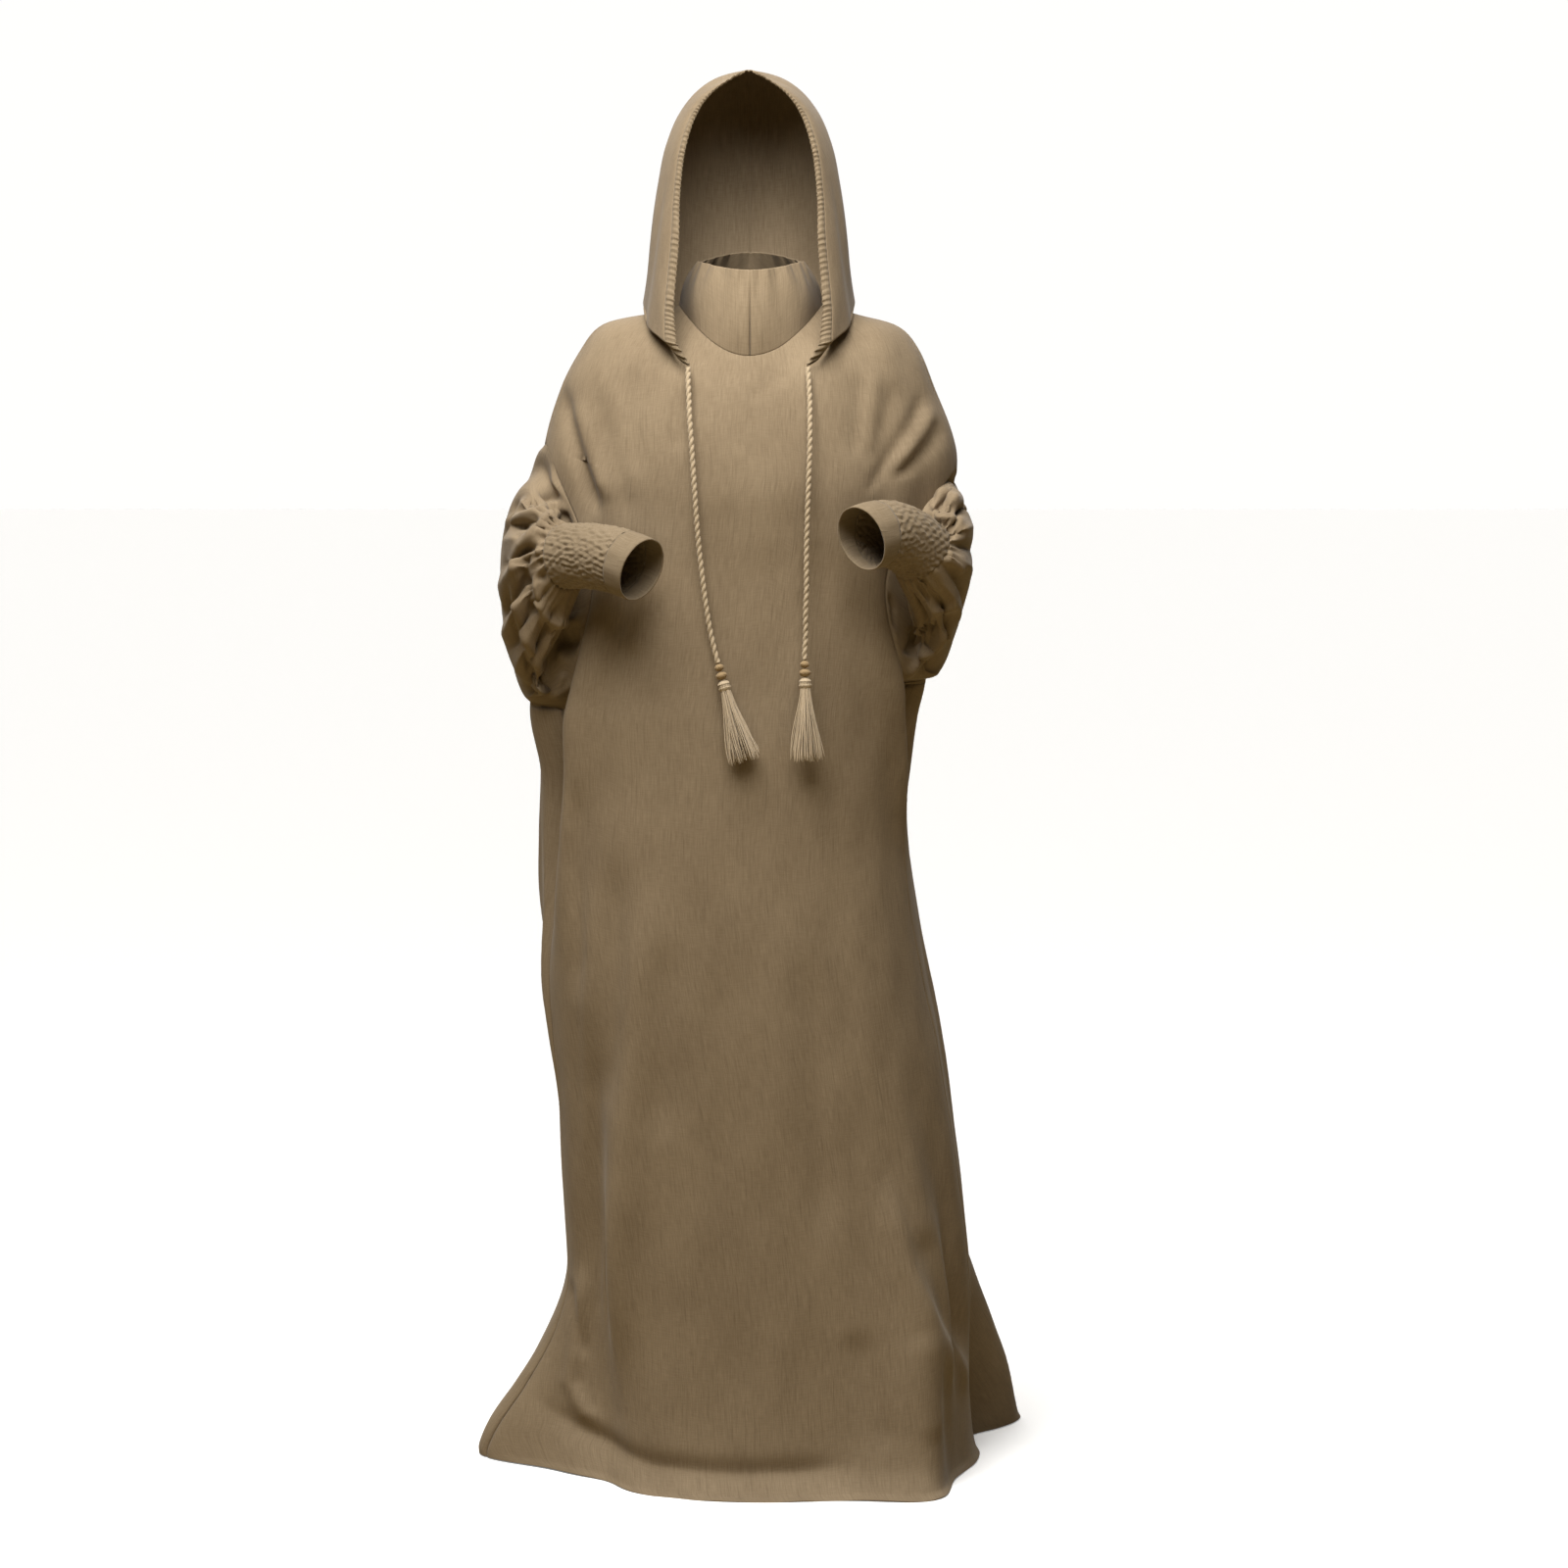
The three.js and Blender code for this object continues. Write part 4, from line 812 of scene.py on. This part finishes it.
# Pleats: a bell across each, which rises from its far end and falls off before the cuff.
def pleatPush(side, turn, t):
    push = np.zeros((len(t), len(turn)))
    for cuffTurn, farTurn, far, width, depth in sleevePleats[side]:
        along = np.clip((t - far) / (1 - far), 0, 1)
        off = np.abs(turnFrom(mix(farTurn, cuffTurn, along), np.degrees(turn)))
        push += (depth * smooth(along / sleeve["pleatRise"]) * smooth((1 - along) / sleeve["pleatFall"])
                 * np.exp(-(off / width) ** sleeve["pleatSharp"]))
    return push


# Gathers into the cuff: a wave round the sleeve, uneven in spacing, depth and length.
def gatherPush(side, turn, t):
    chance = np.random.default_rng(11 if side == "left" else 12)
    wander = np.sin(2 * turn + chance.uniform(0, 6)) + 0.8 * np.sin(5 * turn + 1)
    wave = np.cos(sleeve["gathers"] * turn + wander * 2)
    uneven = 0.65 + 0.35 * np.sin(4 * turn + chance.uniform(0, 6)) * np.sin(7 * turn + 2)
    start = sleeve["gatherStart"] + 0.05 * np.sin(6 * turn + 1) + 0.03 * np.sin(11 * turn)
    return sleeve["gatherDepth"] * smooth((t - start) / (1 - start)) * wave * uneven


def makeSleeve(side):
    turn, t = sleeveTurns(), np.linspace(0, 1, sleeve["rows"])
    points = sleeveSurface(side, turn, t)
    t = t[:, None]
    middle = points.mean(axis=1, keepdims=True)
    offEdges = smooth(t / 0.06) * smooth((1 - t) / 0.03)  # none at the armhole and the cuff
    normals = gridNormals(points, middle, wrapped=True)
    points = points + normals * (sleeveFoldPush(side, turn, t) * offEdges)[..., None]
    for push in (pleatPush(side, turn, t), gatherPush(side, turn, t)):
        normals = gridNormals(points, middle, wrapped=True)
        points = points + normals * push[..., None]
    points = points * mirror[side]
    middle = points.mean(axis=1, keepdims=True)
    normals = gridNormals(points, middle, wrapped=True)
    push = (lineFolds(points, normals, sleeveLines[side]) + ripple(points, 0.7, 21)) * offEdges
    points = points + normals * push[..., None]
    points = np.swapaxes(tucked(np.swapaxes(points, 0, 1), np.swapaxes(normals, 0, 1)), 0, 1)
    piece = gridPiece(f"sleeve_cloth_{side}", points, points.mean(axis=1, keepdims=True),
                      dressLinen, sleeve["wall"], wrapped=True)
    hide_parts(f"sleeve_{side}")
    return piece


# Smocked cuff: staggered puckers, the product of two waves, over a plain tube.
def makeCuff(side):
    cuff = cuffs[side]
    length = cuffDistances(cuff)[1][-1]
    smocked = length - cuffCloth["band"]
    turn = np.arange(cuffCloth["columns"]) * 2 * math.pi / cuffCloth["columns"]
    distance = np.linspace(0, smocked - seam / 2, cuffCloth["rows"])
    t = distance[:, None] / smocked
    chance = np.random.default_rng(31 if side == "left" else 32)
    crinkle = np.zeros((len(distance), len(turn)))
    for _ in range(cuffCloth["crinkles"]):
        around, along = chance.integers(8, 40), chance.uniform(-60, 60)
        crinkle += np.cos(around * turn + along * t + chance.uniform(0, 6.3)) / 4
    wander = 1.2 * np.sin(3 * turn + 9 * t) + 0.9 * np.sin(7 * turn - 8 * t) + 0.5 * crinkle
    across = np.cos(cuffCloth["puckersRound"] * turn + wander)
    down = np.cos(math.pi * cuffCloth["puckersAlong"] * t + 0.9 * np.sin(4 * turn) + 0.7 * crinkle)
    radius = cuff["radius"] + cuffCloth["relief"] * (0.45 * across * down + 0.42 * crinkle)
    points = cuffPoints(cuff, distance, turn, radius) * mirror[side]
    piece = gridPiece(f"cuff_smocking_{side}", points, points.mean(axis=1, keepdims=True), cuffLinen,
                      cuffCloth["wall"], wrapped=True)
    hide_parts(f"cuff_{side}")

    # Its plain turned band, which swells a little and waves where it meets the smocking.
    distance = np.linspace(smocked + seam / 2, length, cuffCloth["bandRows"])
    t = np.linspace(0, 1, cuffCloth["bandRows"])[:, None]
    swell = cuffCloth["bandSwell"] * np.sin(math.pi * t)
    wave = cuffCloth["bandWave"] * np.cos(cuffCloth["bandWaves"] * turn) * mix(1, 0.3, t)
    points = cuffPoints(cuff, distance, turn, cuff["radius"] + swell + wave) * mirror[side]
    band = gridPiece(f"cuff_edge_{side}", points, points.mean(axis=1, keepdims=True), cuffLinen,
                     cuffCloth["bandWall"], wrapped=True)
    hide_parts(f"cuff_band_{side}")
    return piece, band


sleevePieces = {side: makeSleeve(side) for side in mirror}
cuffPieces = {side: makeCuff(side) for side in mirror}

print("collar")
collar = {"half": 63, "frontY": -90, "backY": 54, "front": 1437, "side": 1450, "back": 1464,
          "bulge": 5, "gathers": 18, "gatherDepth": 1.8, "fineGathers": 52, "fineDepth": 0.5,
          "drape": 1.6, "rows": 60, "columns": 120, "middle": 2, "wall": 1.3}


# The neckline's half, from centre front round one side to centre back.
def neckLine(side, row):
    half = body["columns"] // 2
    front, back = frontGrid[row], backGrid[row]
    if side == "left":
        line = [*front[half:0:-1], (front[0] + back[-1]) / 2, *back[half + 1:-1][::-1], back[half]]
    else:
        line = [*front[half:-1], (front[-1] + back[0]) / 2, *back[1:half + 1]]
    return np.array(line)


def evenly(line, count):
    keys = distanceAlong(line)
    at = np.linspace(0, keys[-1], count)
    return np.stack([np.interp(at, keys, line[:, k]) for k in range(3)], axis=1)


# Collar: a funnel between the neckline and a smaller oval, bulging by a half sine wave up it.
def makeCollar(side):
    sign = mirror[side][0]
    foot = evenly(neckLine(side, -1), collar["columns"] + 1)
    t = np.linspace(0, 1, collar["columns"] + 1)
    across, ahead = np.sin(math.pi * t), np.cos(math.pi * t)
    reach = np.where(ahead > 0, collar["frontY"], collar["backY"])
    height = np.where(ahead > 0, collar["front"], collar["back"])
    top = np.stack([collar["middle"] + sign * collar["half"] * across, reach * np.abs(ahead) ** 0.9,
                    mix(collar["side"], height, ahead ** 2)], axis=1)
    away = np.stack([sign * across, -ahead, 0 * t], axis=1)
    up = np.linspace(0, 1, collar["rows"])[:, None]
    gather = (np.cos(math.pi * collar["gathers"] * t + 0.8 * np.sin(5 * t * math.pi))
              * collar["gatherDepth"] * smooth((up - 0.4) / 0.6))
    fine = (np.cos(math.pi * collar["fineGathers"] * t + 2 * np.sin(9 * t))
            * collar["fineDepth"] * smooth((up - 0.7) / 0.3))
    drape = collar["drape"] * np.sin(math.pi * up) * np.sin(7 * math.pi * t + 2 * up + 0.5)
    push = collar["bulge"] * np.sin(math.pi * up) + gather + fine + drape
    points = mix(foot[None], top[None], up[..., None]) + away[None] * push[..., None]
    points[:, [0, -1], 0] = collar["middle"]
    inside = points * [0, 0, 1] + [collar["middle"], -15, 0]
    points = tucked(points, gridNormals(points, inside))
    piece = gridPiece(f"collar_cloth_{side}", points, inside, dressLinen, collar["wall"])
    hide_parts(f"collar_{side}")
    return piece


collarPieces = {side: makeCollar(side) for side in mirror}

print("hood")
hood = {"rows": 130, "columns": 80, "casing": 0.9, "foot": 0.07, "lift": 0.75, "wall": 1.3,
        "flapBow": 8, "flapAngle": 50, "wave": 2.2, "hollow": -4, "pucker": 1.1,
        "middle": (0, 20, 1480)}
casing = {"rows": 480, "columns": 12, "ruffles": 62, "ruffle": 1.3, "swell": 2.2, "wall": 1.1}
flapTip = np.array([69, -131, 1323])
hoodRings = np.array([  # up, backY, back, wide, wideY, wideZ, faceX, faceY, face
    [0.07, 100, 1386, 127, 5, 1402, 84, -128, 1350],
    [0.2, 118, 1430, 122, 6, 1440, 87, -112, 1395],
    [0.35, 142, 1490, 115, 10, 1496, 82, -88, 1465],
    [0.5, 158, 1550, 107, 15, 1545, 81, -62, 1525],
    [0.65, 155, 1610, 98, 20, 1590, 75, -42, 1580],
    [0.78, 125, 1655, 82, 22, 1628, 62, -26, 1622],
    [0.9, 70, 1678, 54, 18, 1656, 42, -17, 1650],
    [1, -8, 1677, 5, -10, 1675.5, 7, -12, 1674]])


# Hood row: a quarter round from the centre seam to the widest place, then one to the face edge.
def hoodRing(up, t):
    backY, back, wide, wideY, wideZ, faceX, faceY, face = np.moveaxis(
        curveThrough(hoodRings[:, 0], hoodRings[:, 1:], np.maximum(up, hood["foot"])), -1, 0)
    across, away = np.sin(math.pi * t), np.cos(math.pi * t)
    behind = np.maximum(away, 0)
    x = np.where(t < 0.5, wide * across ** 0.9, mix(faceX, wide, across))
    y = np.where(t < 0.5, mix(wideY, backY, behind ** 0.9), mix(wideY, faceY, -away))
    z = np.where(t < 0.5, mix(wideZ, back, behind), mix(wideZ, face, -away))
    return np.stack([x, y, z], axis=-1)


# Lower edge of a hood half: along the neck seam, then free and bowed out to the flap's tip.
def hoodLowerEdge(side):
    neck = neckLine(side, hoodRow)[::-1] * mirror[side]
    angle = np.degrees(np.arctan2(np.abs(neck[:, 0] - collar["middle"]), -neck[:, 1]))
    leaves = np.where((neck[:, 1] < 0) & (angle < hood["flapAngle"]))[0][0]
    sewn = neck[:leaves] + [0, 0, hood["lift"]]
    at = np.array([0.2, 0.35, 0.5, 0.7, 0.85, 1])[:, None]
    flap = mix(sewn[-1], flapTip, at) + np.array([1, 0, 0]) * hood["flapBow"] * np.sin(math.pi * at)
    return evenly(np.concatenate([sewn, flap]), hood["columns"] + 1)


# Hood half: rings from its lower edge to the crown, with long shallow hollows and waves.
def makeHood(side):
    t = np.linspace(0, 1, hood["columns"] + 1)
    up = np.linspace(0, 1, hood["rows"])[:, None]
    rings = hoodRing(up + 0 * t, t + 0 * up)
    points = mix(hoodLowerEdge(side)[None], rings, smooth(up / hood["foot"])[..., None])
    normals = gridNormals(points, hood["middle"])
    wave = np.sin(3.3 * math.pi * t + 5 * up) * np.sin(math.pi * up) * np.sin(math.pi * t)
    hollow = np.exp(-((t - 0.62 - 0.12 * up) / 0.06) ** 2) * np.sin(math.pi * np.clip(up / 0.55, 0, 1))
    pucker = np.sin(9 * math.pi * t + 9 * up) * smooth((0.3 - up) / 0.3) * smooth(up / 0.08)
    drape = hood["wave"] * wave + hood["hollow"] * hollow + hood["pucker"] * pucker
    points = points + normals * drape[..., None]
    casingFrom = int(round(hood["casing"] * hood["columns"]))
    panel = points[:, :casingFrom + 1].copy()
    panel[:, 0, 0] = 0
    panel = tucked(panel, normals[:, :casingFrom + 1], True, False)
    piece = gridPiece(f"hood_cloth_{side}", panel * mirror[side], hood["middle"], dressLinen,
                      hood["wall"])
    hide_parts(f"hood_{side}")
    return piece, makeCasing(side, points[:, casingFrom], points[:, -1], normals[:, -3])


# Casing: a narrow strip from the panel's edge to the face, ruffled more towards its edge.
def makeCasing(side, edge, free, normal):
    up = np.linspace(0, 1, casing["rows"])
    rows = np.linspace(0, 1, hood["rows"])
    edge, free, normal = (np.stack([np.interp(up, rows, line[:, k]) for k in range(3)], axis=1)
                          for line in (edge, free, normal))
    across = np.linspace(0.02, 1, casing["columns"])[:, None]
    phase = 2 * math.pi * casing["ruffles"] * up + 1.2 * np.sin(23 * up) + 0.9 * np.sin(41 * up)
    uneven = 0.7 + 0.3 * np.sin(17 * up + 1) * np.sin(57 * up)
    ruffle = uneven * (casing["ruffle"] * np.sin(phase) * (0.4 + 0.6 * across)
                       + 0.5 * np.sin(2.3 * phase + 1) * across)
    swell = casing["swell"] * np.sin(math.pi * np.clip(across * 1.02, 0, 1))
    strip = mix(edge[None], free[None], across[..., None]) + normal[None] * (ruffle + swell)[..., None]
    strip += normalised(free - edge)[None] * (0.6 * np.cos(phase) * across)[..., None]
    strip = np.swapaxes(strip, 0, 1)
    piece = gridPiece(f"hood_casing_cloth_{side}", strip * mirror[side], hood["middle"], cuffLinen,
                      casing["wall"])
    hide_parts(f"hood_casing_{side}")
    return piece


hoodPieces = {side: makeHood(side) for side in mirror}

print("floor and lights")
studio = {"floor": "#faf9f7", "floorBounce": "#9c8a62", "floorGlow": 0.24, "floorReach": 60,
          "floorGap": 0.0005, "sky": 0.07, "skyColour": (1, 0.9, 0.74, 1), "far": 1.06}
lights = [  # name, kind, place and aim in metres, energy, its other setting
    ("overhead", "SUN", (-1.1, -0.5, 3), (0, 0, 0), 1.85, {"angle": 0.6}),
    ("key", "AREA", (-0.15, -1.15, 1.25), (0, 0, -0.3), 65, {"size": 1.4}),
    ("behind", "SUN", (0, 3, 1), (0, 0, 0), 1.8, {"angle": 0.9})]


def plainFloor():
    floorMesh = bpy.data.meshes.new("floor")
    reach, low = studio["floorReach"], -shoulderHeight / 1000 - studio["floorGap"]
    floorMesh.from_pydata([(-reach, -reach, low), (reach, -reach, low), (reach, reach, low),
                           (-reach, reach, low)], [], [(0, 1, 2, 3)])
    material = bpy.data.materials.new("floor_matt_paint")  # matt paint, which only spreads light
    material.use_nodes = True
    tree = material.node_tree
    shader = tree.nodes["Principled BSDF"]
    shader.inputs["Roughness"].default_value = 1
    shader.inputs["Specular IOR Level"].default_value = 0
    # The cloth is lit from above, so the floor gives back less light than it shows.
    ray = addNode(tree, "LightPath").outputs["Is Camera Ray"]
    shown = addNode(tree, "Mix", {"A": hexColour(studio["floorBounce"]),
                                  "B": hexColour(studio["floor"])}, {"Factor": ray}, data_type="RGBA")
    glow = addNode(tree, "Math", {1: studio["floorGlow"]}, {0: ray}, operation="MULTIPLY")
    tree.links.new(shown.outputs["Result"], shader.inputs["Base Color"])
    tree.links.new(glow.outputs[0], shader.inputs["Emission Strength"])
    shader.inputs["Emission Color"].default_value = hexColour(studio["floor"])
    floorMesh.materials.append(material)
    floor = bpy.data.objects.new("floor", floorMesh)
    bpy.context.scene.collection.objects.link(floor)


def addLight(name, kind, place, aim, energy, settings):
    light = bpy.data.lights.new(name, kind)
    light.energy = energy
    for setting, value in settings.items():
        setattr(light, setting, value)
    lamp = bpy.data.objects.new(name, light)
    lamp.location = place
    lamp.rotation_euler = (Vector(aim) - Vector(place)).to_track_quat("-Z", "Y").to_euler()
    bpy.context.scene.collection.objects.link(lamp)


# The world shows as pale as the floor, and gives a weak warm light, as cloth and floor would.
def paleWorld():
    world = bpy.data.worlds.new("studio")
    bpy.context.scene.world = world
    world.use_nodes = True
    tree = world.node_tree
    fill = tree.nodes["Background"]
    fill.inputs["Color"].default_value = studio["skyColour"]
    fill.inputs["Strength"].default_value = studio["sky"]
    shown = addNode(tree, "Background", {"Color": hexColour(studio["floor"]),
                                         "Strength": studio["far"]})
    ray = addNode(tree, "LightPath").outputs["Is Camera Ray"]
    both = addNode(tree, "MixShader", {}, {0: ray, 1: fill.outputs[0], 2: shown.outputs[0]})
    tree.links.new(both.outputs[0], tree.nodes["World Output"].inputs["Surface"])


plainFloor()
for light in lights:
    addLight(*light)
paleWorld()
bpy.context.scene.view_settings.view_transform = "Standard"
